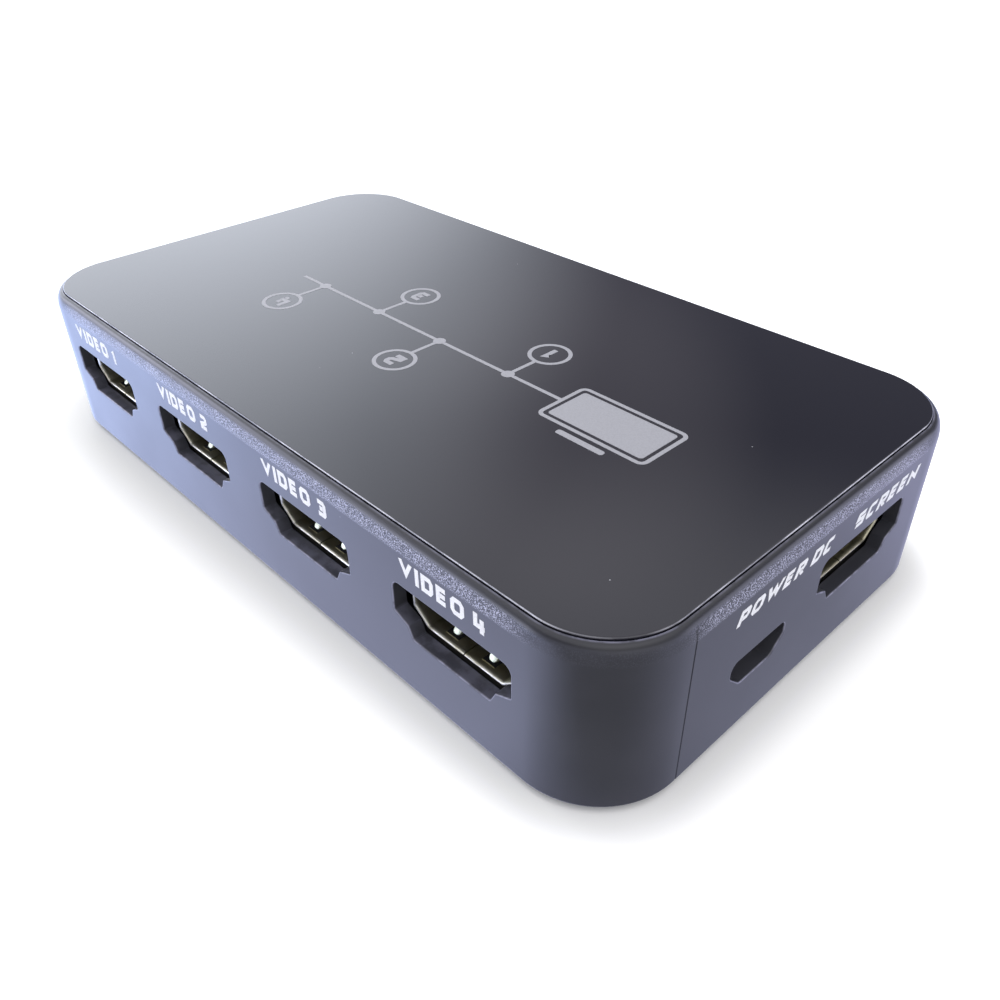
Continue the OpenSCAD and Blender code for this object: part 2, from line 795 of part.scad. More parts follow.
// Places of a video socket's contacts: distance from the middle, and height of the lower face
contact_rows = concat(
    [for (i = [0:contact_n - 1]) [(i - (contact_n - 1) / 2) * contact_pitch, contact_high]],
    [for (i = [0:contact_n - 2]) [(i - (contact_n - 2) / 2) * contact_pitch, contact_low]]);

// Slots that hold contacts in a block and its tongue
module contact_slots(rows, tip, depth) {
    for (c = rows)
        translate([c[0] - contact_w / 2 - contact_gap, tip - contact_gap, c[1] - contact_gap])
            cube([contact_w + 2 * contact_gap, depth - tip + contact_gap + cut,
                  contact_t + 2 * contact_gap]);
}

// Contacts that run back along the tongue, out of the block and down to a foot on the board
module contact_strips(rows, tip, depth) {
    back = depth + contact_back;
    for (c = rows)
        translate([c[0], 0, 0])
            along_x(contact_w)
                polygon([[tip, c[1] + contact_t], [back + contact_t, c[1] + contact_t],
                         [back + contact_t, contact_t], [back + contact_foot, contact_t],
                         [back + contact_foot, 0], [back, 0], [back, c[1]], [tip, c[1]]]);
}

module video_insulator() {
    block_y = socket_depth - block_l;
    color([0.06, 0.06, 0.06])
        difference() {
            union() {
                translate([0, block_y, floor_up])
                    along_y(block_l)
                        polygon(video_outline(-block_gap));
                translate([-tongue_w / 2, tongue_set, tongue_low])
                    cube([tongue_w, block_y + lap - tongue_set, tongue_t]);
            }
            contact_slots(contact_rows, contact_tip, socket_depth);
        }
}

module video_contacts() {
    color("gold")
        contact_strips(contact_rows, contact_tip, socket_depth);
}

module inlet_shell() {
    color([0.75, 0.75, 0.75]) {
        translate([0, 0, inlet_floor])
            along_y(inlet_depth)
                difference() {
                    polygon(inlet_outline(inlet_sheet));
                    polygon(inlet_outline(0));
                }
        for (side = [0, 1])
            mirror([side, 0, 0])
                translate([inlet_w / 2 + inlet_sheet / 2, tab_set, 0])
                    cube([inlet_sheet / 2 + tab_reach, tab_w, inlet_sheet]);
    }
}

// Places of the inlet's contacts: distance from the middle, and height of the lower face
inlet_contact_rows = [for (i = [0:inlet_contact_n - 1])
    [(i - (inlet_contact_n - 1) / 2) * inlet_contact_pitch, inlet_contact_z]];

module inlet_insulator() {
    block_y = inlet_depth - inlet_block_l;
    color([0.06, 0.06, 0.06])
        difference() {
            union() {
                translate([0, block_y, inlet_floor])
                    along_y(inlet_block_l)
                        polygon(inlet_outline(-block_gap));
                translate([-inlet_tongue_w / 2, inlet_tongue_set, inlet_tongue_low])
                    cube([inlet_tongue_w, block_y + lap - inlet_tongue_set, inlet_tongue_t]);
            }
            contact_slots(inlet_contact_rows, inlet_contact_tip, inlet_depth);
        }
}

module inlet_contacts() {
    color("gold")
        contact_strips(inlet_contact_rows, inlet_contact_tip, inlet_depth);
}

module select_button() {
    face_y = body_w / 2 + button_proud;
    color([0.1, 0.1, 0.11]) {
        front_round(button_x, flange_y - flange_t, face_y - button_bevel, button_d);
        front_round(button_x, flange_y - flange_t, flange_y, button_d + 2 * flange_reach);
        front_round(button_x, stem_y, flange_y, stem_d);
        translate([button_x, face_y - button_bevel, front_z])
            rotate([-90, 0, 0])
                cylinder(h = button_bevel, d1 = button_d, d2 = button_d - 2 * button_bevel);
    }
}

module switch_housing() {
    color([0.1, 0.1, 0.1])
        difference() {
            translate([button_x - switch_w / 2, switch_y - switch_l, board_z])
                cube([switch_w, switch_l, 2 * front_up]);
            front_round(button_x, well_y, switch_y + cut, well_d);
        }
}

module switch_cover() {
    color("silver")
        difference() {
            translate([button_x - switch_w / 2 - cover_t, switch_y - clip_l, board_z])
                cube([switch_w + 2 * cover_t, clip_l + cover_t, 2 * front_up]);
            translate([button_x - switch_w / 2, switch_y - clip_l - cut, board_z - cut])
                cube([switch_w, clip_l + cut, 2 * front_up + 2 * cut]);
            front_round(button_x, switch_y - cut, cover_y + cut, plunger_d + 2 * plunger_gap);
        }
}

module switch_plunger() {
    color([0.85, 0.85, 0.8]) {
        front_round(button_x, plunger_back_y, plunger_y, plunger_d);
        front_round(button_x, plunger_back_y, plunger_back_y + plunger_flange_t, plunger_flange_d);
    }
}

// Shallow metal cap, drawn at the height it has when the button is pressed home
module switch_dome() {
    half = plunger_flange_d / 2;
    round_r = (half * half + dome_h * dome_h) / (2 * dome_h);
    color("silver")
        translate([button_x, well_y, front_z])
            rotate([-90, 0, 0])
                difference() {
                    intersection() {
                        translate([0, 0, dome_h - round_r])
                            sphere(round_r);
                        cylinder(h = dome_h, d = well_d - 2 * plunger_gap);
                    }
                    translate([0, 0, dome_h - round_r - dome_t])
                        sphere(round_r);
                }
}

module switch_terminals() {
    back = switch_y - switch_l;
    color("silver")
        for (side = [-1, 1])
            translate([button_x + side * switch_w / 4, back, board_z])
                along_x(lead_reach)
                    polygon([[-lead_reach, 0], [0, 0], [0, front_up], [-cover_t, front_up],
                             [-cover_t, cover_t], [-lead_reach, cover_t]]);
}

module light_pipe() {
    color([0.9, 0.92, 0.95, 0.6]) {
        translate([lamp_x[0] - lamp_pitch / 3, bar_y - bar_t, board_z])
            cube([lamp_pitch * (lamp_n - 1 + 2 / 3), bar_t, 2 * front_up]);
        for (x = lamp_x)
            front_round(x, bar_y - lap, body_w / 2, pin_d);
    }
}

module indicator_lamps() {
    color([0.9, 0.95, 0.9])
        for (x = lamp_x)
            translate([x - lamp_size.x / 2, bar_y - bar_t - lamp_gap - lamp_size.y, board_z])
                cube(lamp_size);
}

module ir_window() {
    color([0.12, 0.02, 0.04]) {
        front_round(window_x, window_back_y, body_w / 2, window_d);
        front_round(window_x, window_back_y, wall_y, window_d + 2 * window_reach);
    }
}

module ir_receiver() {
    color([0.05, 0.05, 0.05]) {
        translate([window_x - receiver_size.x / 2, receiver_y - receiver_size.y, board_z])
            cube(receiver_size);
        intersection() {
            translate([window_x, receiver_y, front_z])
                sphere(d = receiver_lens_d);
            front_round(window_x, receiver_y - lap, lens_y, receiver_lens_d + 1);
        }
    }
}

// The receiver's leads, grown by one gap, between two heights
module receiver_leads(gap, low, high) {
    half = receiver_lead_w / 2 + gap;
    for (i = [-1:1])
        translate([window_x + i * receiver_lead_pitch - half, receiver_y - receiver_size.y / 2 - half, low])
            cube([2 * half, 2 * half, high - low]);
}

module ir_leads() {
    color("silver")
        receiver_leads(0, under_z - leg_out, board_z);
}

// A row of bent leads along one side of a chip, which faces +Y
module lead_row(count, span, reach_y, body_h) {
    pitch = span / count;
    rise = chip_stand + body_h / 2;
    for (i = [0:count - 1])
        translate([(i - (count - 1) / 2) * pitch, reach_y, 0])
            along_x(pitch / 2)
                polygon([[0, rise - lead_t], [lead_reach / 2 - lead_t, rise - lead_t],
                         [lead_reach / 2 - lead_t, 0], [lead_reach, 0], [lead_reach, lead_t],
                         [lead_reach / 2, lead_t], [lead_reach / 2, rise], [0, rise]]);
}

// A block centred on a place on the board, standing a little above it
module on_board(at, size, stand) {
    translate([at.x - size.x / 2, at.y - size.y / 2, board_z + stand])
        cube(size);
}

module switch_chip() {
    color([0.07, 0.07, 0.07])
        on_board(chip_at, [chip_w, chip_w, chip_h], chip_stand);
}

module switch_chip_leads() {
    color("silver")
        for (turn = [0:3])
            translate([chip_at.x, chip_at.y, board_z])
                rotate([0, 0, 90 * turn])
                    lead_row(chip_lead_n, chip_w, chip_w / 2, chip_h);
}

module control_chip() {
    color([0.07, 0.07, 0.07])
        on_board(control_at, [control_l, control_w, control_h], chip_stand);
}

module control_chip_leads() {
    color("silver")
        for (turn = [0, 180])
            translate([control_at.x, control_at.y, board_z])
                rotate([0, 0, turn])
                    lead_row(control_lead_n, control_l, control_w / 2, control_h);
}

module voltage_regulator() {
    color([0.07, 0.07, 0.07])
        on_board(regulator_at, regulator_size, chip_stand);
}

module regulator_leads() {
    color("silver")
        translate([regulator_at.x, regulator_at.y, board_z]) {
            lead_row(3, regulator_size.x, regulator_size.y / 2, regulator_size.z);
            rotate([0, 0, 180])
                lead_row(1, regulator_size.x, regulator_size.y / 2, regulator_size.z);
        }
}

// Metal can with round ends
module crystal() {
    end = crystal_size.y / 2;
    color("gainsboro")
        translate([crystal_at.x, crystal_at.y, board_z])
            linear_extrude(crystal_size.z) {
                square([crystal_size.x - crystal_size.y, crystal_size.y], center = true);
                for (side = [-1, 1])
                    translate([side * (crystal_size.x / 2 - end), 0])
                        circle(end);
            }
}

module bulk_capacitors() {
    seat = bulk_h / 8;
    color("lightgray")
        for (at = [bulk_a_at, bulk_b_at]) {
            on_board(at, [bulk_d, bulk_d, seat], 0);
            translate([at.x, at.y, board_z])
                cylinder(h = bulk_h, d = bulk_d - cut);
        }
}

module power_inductor() {
    color([0.25, 0.25, 0.27])
        on_board(inductor_at, inductor_size, 0);
}

module protection_arrays() {
    color([0.07, 0.07, 0.07])
        at_sockets()
            translate([-array_size.x / 2, contact_end + array_set, 0])
                cube(array_size);
}

// A row of small parts along X
module part_row(count, pitch, y, size) {
    for (i = [0:count - 1])
        on_board([(i - (count - 1) / 2) * pitch, y], size, 0);
}

module chip_capacitors() {
    color([0.7, 0.6, 0.45])
        part_row(capacitor_n, capacitor_pitch, capacitor_y, capacitor_size);
}

module chip_resistors() {
    color([0.1, 0.1, 0.1])
        part_row(resistor_n, resistor_pitch, resistor_y, resistor_size);
}

upper_shell();
top_panel();
panel_tape();
base_plate();
rubber_feet();
case_screws();
main_board();
board_screws();
for (i = [0:3]) {
    at_input(i) video_shell();
    at_input(i) video_insulator();
    at_input(i) video_contacts();
}
at_side(output_y) video_shell();  // output_shell
at_side(output_y) video_insulator();  // output_insulator
at_side(output_y) video_contacts();  // output_contacts
at_side(inlet_y) inlet_shell();  // power_inlet_shell
at_side(inlet_y) inlet_insulator();  // power_inlet_insulator
at_side(inlet_y) inlet_contacts();  // power_inlet_contacts
select_button();
switch_housing();
switch_cover();
switch_plunger();
switch_dome();
switch_terminals();
light_pipe();
indicator_lamps();
ir_window();
ir_receiver();
ir_leads();
switch_chip();
switch_chip_leads();
control_chip();
control_chip_leads();
voltage_regulator();
regulator_leads();
crystal();
bulk_capacitors();
power_inductor();
protection_arrays();
chip_capacitors();
chip_resistors();
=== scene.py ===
"""Looks of a four-input video switch box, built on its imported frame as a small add-on."""

import json
import math

import bmesh
import bpy
import numpy as np
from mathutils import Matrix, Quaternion, Vector
from mathutils.geometry import delaunay_2d_cdt


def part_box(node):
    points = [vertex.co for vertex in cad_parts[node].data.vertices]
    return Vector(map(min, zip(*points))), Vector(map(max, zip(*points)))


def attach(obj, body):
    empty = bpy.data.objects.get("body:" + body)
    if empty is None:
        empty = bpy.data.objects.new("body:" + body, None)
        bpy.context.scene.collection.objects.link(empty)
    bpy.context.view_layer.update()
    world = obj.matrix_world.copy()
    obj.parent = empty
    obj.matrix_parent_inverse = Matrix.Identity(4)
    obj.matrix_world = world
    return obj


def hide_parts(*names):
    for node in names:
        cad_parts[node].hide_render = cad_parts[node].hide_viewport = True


bl_info = {
    "name": "Video Switch Box",
    "version": (1, 0, 0),
    "blender": (4, 5, 0),
    "location": "View3D > Sidebar > Switch Box",
    "description": "Builds the looks of a four-input video switch box on its packed frame",
    "category": "Add Mesh",
}

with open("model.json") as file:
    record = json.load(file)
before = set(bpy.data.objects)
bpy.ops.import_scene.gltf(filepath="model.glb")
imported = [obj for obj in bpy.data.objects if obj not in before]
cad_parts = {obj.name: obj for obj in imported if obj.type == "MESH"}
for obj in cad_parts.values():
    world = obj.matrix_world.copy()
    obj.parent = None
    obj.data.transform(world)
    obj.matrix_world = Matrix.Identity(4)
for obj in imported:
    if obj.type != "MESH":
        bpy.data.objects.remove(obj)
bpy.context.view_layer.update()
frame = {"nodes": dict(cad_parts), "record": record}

MM = 0.001

# Points closer than WELD become one. SUPPORT is the distance of the row that holds a round beside it.
WELD = 0.0008 * MM
SUPPORT = 0.06 * MM
CORNER_STEPS = 28
SHARP_ANGLE = math.radians(32)

# Overlap of forms that are one moulding, inset at which the mould line is gone, soft corners of a cut-out,
# and how far print starts below its surface
LAP = 0.3 * MM
GROOVE_FADE = 0.3 * MM
PORT_ROUND = 0.3 * MM
INK_SINK = 0.01 * MM

# Walls in the order of the outline, with the way to the right and the way out of each, seen from outside
REAR, RIGHT, FRONT, LEFT = range(4)
ALONG = np.array([[1, 0], [0, 1], [-1, 0], [0, -1]], dtype=float)
OUTWARD = np.array([[0, -1], [1, 0], [0, 1], [-1, 0]], dtype=float)
QUARTERS = np.array([[-1, -1], [1, -1], [1, 1], [-1, 1]])
SOCKETS = {"input_1": REAR, "input_2": REAR, "input_3": REAR, "input_4": REAR, "output": RIGHT}

# Bosses for the case's screws and posts for the board's: places, then diameter, pilot hole and its depth
BOSS_INSET = 7.0 * MM
BOSS = np.array([5.6, 2.36, 7.3]) * MM
POST_PLACES = np.array([[-40, -7.5], [40, -7.5], [-26, 17], [26, 17]]) * MM
POST = np.array([4.4, 2.06, 4.6]) * MM

# Drawn screen, its picture and its stand: width, depth and round of the corners
DISPLAY = np.array([14.8, 8.0, 1.0]) * MM
PICTURE = np.array([12.9, 6.1, 0.4]) * MM
STAND = np.array([6.4, 0.8, 0.3]) * MM
STAND_SET = 5.0 * MM
DOT_RISE = 0.006 * MM

# Small forms of the sleeves: the dark plates painted as shade in each slot of the floor, the legs and the
# power inlet's tabs
SLOT_SINK = 0.05 * MM
SLOT_RISE = 0.02 * MM
SHEET_EDGE = 0.04 * MM
LEG_DEPTHS = (3.6 * MM, 9.5 * MM)
LEG_WIDTH = 1.2 * MM
TAB_WIDTH = 1.4 * MM
TAB_LENGTH = 1.6 * MM
TAB_SET = 0.5 * MM
TAB_DEPTH = 3.0 * MM

# Painted light on the cut-outs' floors and on the sleeves' flares on each wall, and how deep the second
# reaches
SILL_PAINTED_LIGHT = [0.36, 0.0, 0.0, 0.0]
SLEEVE_PAINTED_LIGHT = [0.8, 0.25, 0.0, 0.0]
PAINTED_LIGHT_DEPTH = 1.2 * MM

# Distances from the case's ends at which the rim's grain and its painted glints start to fade and are gone,
# as painted shade towards the upright corners
GRAIN_FADE = 15 * MM
GRAIN_END = 7 * MM

# Lights of the sky: axis, the angles in degrees where each is still full and where it is gone, strength.
# Those for gloss show only in reflections. SKY_BLUE is the plain sky's blue against its red and green.
SKY_LIGHTS = [
    ((-0.957, 0.203, 0.208), 10, 40, (2.6, 2.75, 3.0)),
    ((0.0, 0.0, 1.0), 46, 60, (1.0, 1.0, 1.05)),
    ((-0.62, -0.78, 0.07), 6, 20, (4.2, 4.3, 5.2)),
    ((0.72, 0.69, 0.06), 6, 22, (2.6, 2.65, 3.4)),
    ((0.75, -0.25, 0.60), 20, 50, (0.5, 0.5, 0.5)),
    ((-0.56, 0.63, 0.53), 4, 13, (0.3, 0.28, 0.3)),
]
GLOSS_LIGHTS = [((-0.83, -0.45, 0.33), 4, 18, (5.0, 5.1, 6.2))]
SKY_BLUE = 1.25

# Starts and ends of the floor's changes of glow: along the box, past its right end, and along that end
GLOW_LONG = (22 * MM, -80 * MM)
GLOW_RIGHT = (56 * MM, 36 * MM)
GLOW_CORNER = (-35 * MM, -9 * MM)
GLOW_BACK = (8 * MM, 46 * MM)

# Distance from the case at which the floor starts to get paler, half the floor's width in metres, and the
# width of the camera's sensor in millimetres
SHADE_START = 0.5 * MM
FLOOR_REACH = 3.0
SENSOR_WIDTH = 36.0

# Letters: stroke, gap and the side labels' slant in shares of the height, and each letter's width and its
# paths in a unit square
LETTER_STROKE = 0.27
LETTER_GAP = 0.2
SIDE_SLANT = 0.3
ROUND = [(0.2, 0), (0.8, 0), (1, 0.2), (1, 0.8), (0.8, 1), (0.2, 1), (0, 0.8), (0, 0.2), (0.2, 0)]
GLYPHS = {
    " ": (0.2, []),
    "C": (0.82, [[(1, 1), (0.15, 1), (0, 0.85), (0, 0.15), (0.15, 0), (1, 0)]]),
    "D": (0.86, [[(0, 0), (0.8, 0), (1, 0.2), (1, 0.8), (0.8, 1), (0, 1), (0, 0)]]),
    "E": (0.78, [[(1, 1), (0, 1), (0, 0), (1, 0)], [(0.24, 0.5), (0.95, 0.5)]]),
    "I": (0.24, [[(0, -0.2), (0, 1.2)]]),
    "N": (0.9, [[(0, -0.2), (0, 1), (1, 0), (1, 1.2)]]),
    "O": (0.92, [ROUND]),
    "P": (0.82, [[(0, -0.2), (0, 1), (0.85, 1), (1, 0.86), (1, 0.5), (0.85, 0.36), (0.22, 0.36)]]),
    "R": (0.84, [[(0, -0.2), (0, 1), (0.85, 1), (1, 0.86), (1, 0.56), (0.85, 0.42), (0.22, 0.42)],
                 [(0.55, 0.26), (1, -0.2)]]),
    "S": (0.82, [[(1, 1), (0, 1), (0, 0.5), (1, 0.5), (1, 0), (0, 0)]]),
    "V": (0.95, [[(-0.05, 1.2), (0.5, 0.05), (1.05, 1.2)]]),
    "W": (1.3, [[(-0.05, 1.2), (0.25, 0.05), (0.5, 0.8), (0.75, 0.05), (1.05, 1.2)]]),
    "1": (0.5, [[(0, 0.76), (0.75, 1), (0.75, -0.2)]]),
    "2": (0.82, [[(0, 1), (0.85, 1), (1, 0.86), (1, 0.62), (0.85, 0.5), (0, 0.3), (0, 0), (1, 0)]]),
    "3": (0.82, [[(0, 1), (0.85, 1), (1, 0.86), (1, 0.14), (0.85, 0), (0, 0)],
                 [(0.25, 0.5), (0.8, 0.5)]]),
    "4": (0.86, [[(0, 1.2), (0, 0.3), (1, 0.3)], [(0.7, 0.46), (0.7, 0.9)], [(0.7, -0.2), (0.7, 0.14)]]),
}


def node_box(name):
    """Lowest and highest corner of a CAD node, as arrays in metres."""
    low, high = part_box(name)
    return np.array(low), np.array(high)


# Corners of the shell and of the panel, heights of the board's face and the recess, and the walls' faces
SHELL_LOW, SHELL_HIGH = node_box("upper_shell")
PANEL_LOW, PANEL_HIGH = node_box("top_panel")
BOARD_TOP = node_box("main_board")[1][2]
RECESS = node_box("panel_tape")[0][2]
FACE = SHELL_HIGH[[1, 0, 1, 0]]


# Settings

def length(name, description, millimetres):
    """Property for a length, with its default in millimetres."""
    return bpy.props.FloatProperty(
        name=name, description=description, default=millimetres * MM, unit="LENGTH", precision=5)


def amount(name, description, value):
    """Property for a plain number."""
    return bpy.props.FloatProperty(name=name, description=description, default=value, precision=4)


def colour(name, description, value):
    """Property for a colour, written as linear light."""
    return bpy.props.FloatVectorProperty(
        name=name, description=description, default=value, size=3, min=0, max=1, subtype="COLOR")


class SwitchBoxCase(bpy.types.PropertyGroup):
    """Sizes of the moulded case and of the panel in its recess."""

    corner_radius: length("Corner radius", "Radius of the upright corners", 9.7)
    wall: length("Wall", "Thickness of the walls", 1.6)
    deck: length("Deck", "Thickness of the deck below the recess", 1.5)
    rim_radius: length("Rim radius", "Width of the rim's soft outer round", 1.0)
    rim_drop: length("Rim drop", "Height of the rim's soft outer round", 2.0)
    rim_land: length("Rim land", "Flat strip between the round and the recess", 0.06)
    foot_edge: length("Foot edge", "Round of the lower edge", 0.3)
    lip_radius: length("Lip radius", "Round of the edges of the cut-outs", 0.17)
    seam_set: length("Seam set", "Distance of the mould line from its corner", 0.3)
    seam_width: length("Seam width", "Width of the mould line", 0.2)
    seam_depth: length("Seam depth", "Depth of the mould line", 0.14)
    panel_edge: length("Panel edge", "Round of the panel's polished edge", 0.15)


class SwitchBoxPorts(bpy.types.PropertyGroup):
    """Sizes of the cut-outs and of the folded sleeves behind them."""

    side_gap: length("Side gap", "Gap beside a video sleeve", 0.7)
    top_gap: length("Top gap", "Gap above a video sleeve", 0.4)
    floor_gap: length("Floor gap", "Gap below a video sleeve", 0.5)
    corner: length("Corner", "Round of a cut-out's upper corners", 1.0)
    step_height: length("Step height", "Height of the step above the cut-out's floor", 2.25)
    shoulder_height: length("Shoulder height", "Height of the shoulder above the cut-out's floor", 1.4)
    shoulder_inset: length("Shoulder inset", "Distance of the shoulder from the cut-out's side", 2.0)
    floor_inset: length("Floor inset", "Distance of the floor's end from the cut-out's side", 2.7)
    sleeve_width: length("Sleeve width", "Inner width of a video sleeve", 14.0)
    sleeve_height: length("Sleeve height", "Inner height of a video sleeve", 4.55)
    sleeve_floor: length("Sleeve floor", "Inner width of a video sleeve's floor", 10.2)
    sleeve_lean: length("Sleeve lean", "Height of a video sleeve's leaning sides", 1.6)
    sleeve_depth: length("Sleeve depth", "Depth of a video sleeve", 11.6)
    sleeve_sheet: length("Sleeve sheet", "Thickness of a sleeve's sheet", 0.3)
    sleeve_bend: length("Sleeve bend", "Inner radius of a sleeve's bends", 0.28)
    sleeve_seam: length("Sleeve seam", "Gap between the ends of a sleeve's sheet", 0.14)
    sleeve_flare: length("Sleeve flare", "Depth of the round at a sleeve's mouth", 0.4)
    mouth: length("Mouth", "Distance of a sleeve's mouth from the wall's face", 1.75)
    finger_place: length("Finger place", "Distance of the spring fingers from the middle", 2.5)
    slot_width: length("Slot width", "Width of the slot that holds a spring finger", 1.7)
    slot_length: length("Slot length", "Length of the slot that holds a spring finger", 5.2)
    slot_set: length("Slot set", "Distance of the slot from the mouth", 0.8)
    bump_set: length("Bump set", "Distance of a spring finger's bump from the mouth", 1.5)
    bump_radius: length("Bump radius", "Radius of a spring finger's round bump", 0.5)
    bump_height: length("Bump height", "Height of the round on a bump's face", 0.1)
    bump_length: length("Bump length", "Length of a bump behind its face", 1.0)
    bump_lean: bpy.props.FloatProperty(
        name="Bump lean", description="Lean of a bump's face towards the mouth", subtype="ANGLE",
        default=math.radians(50))
    inlet_gap: length("Inlet gap", "Gap round the power inlet's sleeve", 0.5)
    inlet_width: length("Inlet width", "Inner width of the power inlet's sleeve", 7.0)
    inlet_height: length("Inlet height", "Inner height of the power inlet's sleeve", 1.75)
    inlet_floor: length("Inlet floor", "Inner width of the power inlet's floor", 4.35)
    inlet_lean: length("Inlet lean", "Height of the power inlet's leaning sides", 1.3)
    inlet_depth: length("Inlet depth", "Depth of the power inlet's sleeve", 5.0)
    inlet_sheet: length("Inlet sheet", "Thickness of the power inlet's sheet", 0.35)
    inlet_drop: length("Inlet drop", "Height of the inlet's floor below the board's face", 0.7)
    inlet_bend: length("Inlet bend", "Inner radius of the power inlet's bends", 0.2)
    inlet_corner: length("Inlet corner", "Inner radius that the inlet's cut-out grows from", 0.05)
    inlet_seam: length("Inlet seam", "Gap between the ends of the power inlet's sheet", 0.04)
    inlet_flare: length("Inlet flare", "Depth of the round at the power inlet's mouth", 0.2)


class SwitchBoxControls(bpy.types.PropertyGroup):
    """Sizes of the button, the remote's window, the light pins and the feet."""

    button_gap: length("Button gap", "Gap round the button", 0.1)
    button_round: length("Button round", "Round of the button's edge", 0.35)
    button_dish: length("Button dish", "Depth of the hollow in the button's face", 0.12)
    button_diameter: length("Button diameter", "Diameter of the button", 5.2)
    stem_diameter: length("Stem diameter", "Diameter of the button's stem", 2.4)
    stem_length: length("Stem length", "Length of the button's stem", 0.85)
    flange: length("Flange", "Thickness of the button's flange", 0.9)
    pin_gap: length("Pin gap", "Gap round the light pins and the window", 0.05)
    pin_diameter: length("Pin diameter", "Diameter of a light pin", 2.0)
    pin_pitch: length("Pin pitch", "Distance from light pin to light pin", 9.0)
    pin_dome: length("Pin dome", "Height of a light pin's rounded end", 0.3)
    bar: length("Bar", "Thickness of the light pins' bar", 1.8)
    bar_edge: length("Bar edge", "Bevel of the bar's edges", 0.15)
    window_diameter: length("Window diameter", "Diameter of the remote's window", 5.2)
    window_flange: length("Window flange", "Thickness of the window's flange", 0.8)
    window_dome: length("Window dome", "Fall of the window's face towards its edge", 0.18)
    foot_diameter: length("Foot diameter", "Diameter of a rubber foot", 8.0)
    foot_round: length("Foot round", "Round of a rubber foot's lower edge", 0.5)
    foot_hollow: length("Foot hollow", "Depth of the hollow in a rubber foot's sole", 0.08)


class SwitchBoxPrint(bpy.types.PropertyGroup):
    """Sizes of the printed letters, numbers and lines."""

    ink: length("Ink", "Height of the print above its surface", 0.018)
    rear_height: length("Rear height", "Height of the input labels' letters", 2.05)
    rear_level: length("Rear level", "Height of the input labels' middle above the floor", 16.85)
    rear_shift: length("Rear shift", "Shift of the input labels from the sockets' middles", -0.65)
    rear_width: length("Rear width", "Length of an input label", 11.7)
    side_height: length("Side height", "Height of the side labels' letters", 1.65)
    side_level: length("Side level", "Height of the side labels' middle above the floor", 16.55)
    screen_shift: length("Screen shift", "Shift of the output's label from its socket's middle", 3.35)
    screen_width: length("Screen width", "Length of the output's label", 12.6)
    power_shift: length("Power shift", "Shift of the inlet's label from its socket's middle", 2.9)
    power_width: length("Power width", "Length of the inlet's label", 15.4)
    front_height: length("Front height", "Height of the front's numbers", 1.5)
    front_level: length("Front level", "Height of the front numbers' middle above the floor", 14.2)
    line: length("Line", "Width of the lines on the panel", 0.5)
    ring: length("Ring", "Radius of the numbered rings on the panel", 2.7)
    ring_reach: length("Ring reach", "Distance of the rings from the diagram's line", 7.0)
    ring_first: length("Ring first", "Place of the first ring along the panel", 14.0)
    ring_pitch: length("Ring pitch", "Distance from ring to ring along the panel", 12.0)
    dot: length("Dot", "Radius of the dots on the diagram's line", 0.8)
    number_height: length("Number height", "Height of the numbers in the rings", 2.5)
    number_width: length("Number width", "Width of a number as wide as it is high", 2.4)
    diagram_level: length("Diagram level", "Place of the diagram's line across the panel", -2.2)
    diagram_end: length("Diagram end", "Far end of the diagram's line", -27.0)
    display_place: length("Display place", "Place of the drawn screen along the panel", 29.6)


class SwitchBoxColours(bpy.types.PropertyGroup):
    """Colours of the finishes, as linear light."""

    case: colour("Case", "Moulded case", (0.045, 0.046, 0.054))
    panel: colour("Panel", "Glossy panel", (0.0085, 0.0085, 0.013))
    ink: colour("Ink", "Labels on the walls", (0.94, 0.945, 0.95))
    panel_ink: colour("Panel ink", "Print on the panel", (0.36, 0.36, 0.37))
    sleeve: colour("Sleeve", "Plated sleeves of the sockets", (0.36, 0.33, 0.20))
    spring: colour("Spring", "Polished bumps of the spring fingers", (0.82, 0.88, 0.69))
    gold: colour("Gold", "Contacts", (0.83, 0.58, 0.22))
    insulator: colour("Insulator", "Blocks and tongues of the sockets", (0.011, 0.011, 0.012))
    rubber: colour("Rubber", "Feet", (0.022, 0.022, 0.023))
    window: colour("Window", "Remote's window", (0.018, 0.004, 0.006))
    # Solder mask darkened nearly to black: partly its own colour, partly painted shade where the board shows
    # below the sleeves
    board: colour("Board", "Solder mask of the board", (0.006, 0.010, 0.009))
    laminate: colour("Laminate", "Cut edges of the board", (0.035, 0.033, 0.030))
    # Painted glints: pale colour on the rim's grain where it would catch the light
    glint: colour("Glint", "Glints of the grain on the rim", (0.62, 0.63, 0.78))
    # Painted highlights on the case's edges, and painted light on the floors of the rear cut-outs
    worn_case: colour("Worn case", "Worn edges of the case", (0.28, 0.28, 0.36))
    # Painted highlight along the panel's polished edge
    worn_panel: colour("Worn panel", "Polished edge of the panel", (0.72, 0.72, 0.75))
    # Painted highlights on the sleeves' lips, and painted light inside their flares
    worn_metal: colour("Worn metal", "Bright edges of the sleeves", (0.93, 0.93, 0.88))
    dust: colour("Dust", "Specks of dust", (0.45, 0.45, 0.46))
    window_dust: colour("Window dust", "Specks of dust on the remote's window", (0.2, 0.2, 0.2))
    tape: colour("Tape", "Tape under the panel", (0.75, 0.75, 0.73))
    screw: colour("Screw", "Zinc of the screws", (0.55, 0.55, 0.57))
    button: colour("Button", "Button", (0.03, 0.03, 0.034))
    clear: colour("Clear", "Light pins", (0.9, 0.92, 0.94))
    lamp: colour("Lamp", "Lamps behind the light pins", (0.82, 0.8, 0.68))
    chip: colour("Chip", "Bodies of the chips", (0.02, 0.02, 0.021))
    lead: colour("Lead", "Tinned leads", (0.74, 0.74, 0.74))
    can: colour("Can", "Cans of the capacitors and the crystal", (0.8, 0.8, 0.81))
    choke: colour("Choke", "Power inductor", (0.09, 0.09, 0.095))
    ceramic: colour("Ceramic", "Small capacitors and resistors", (0.36, 0.24, 0.13))


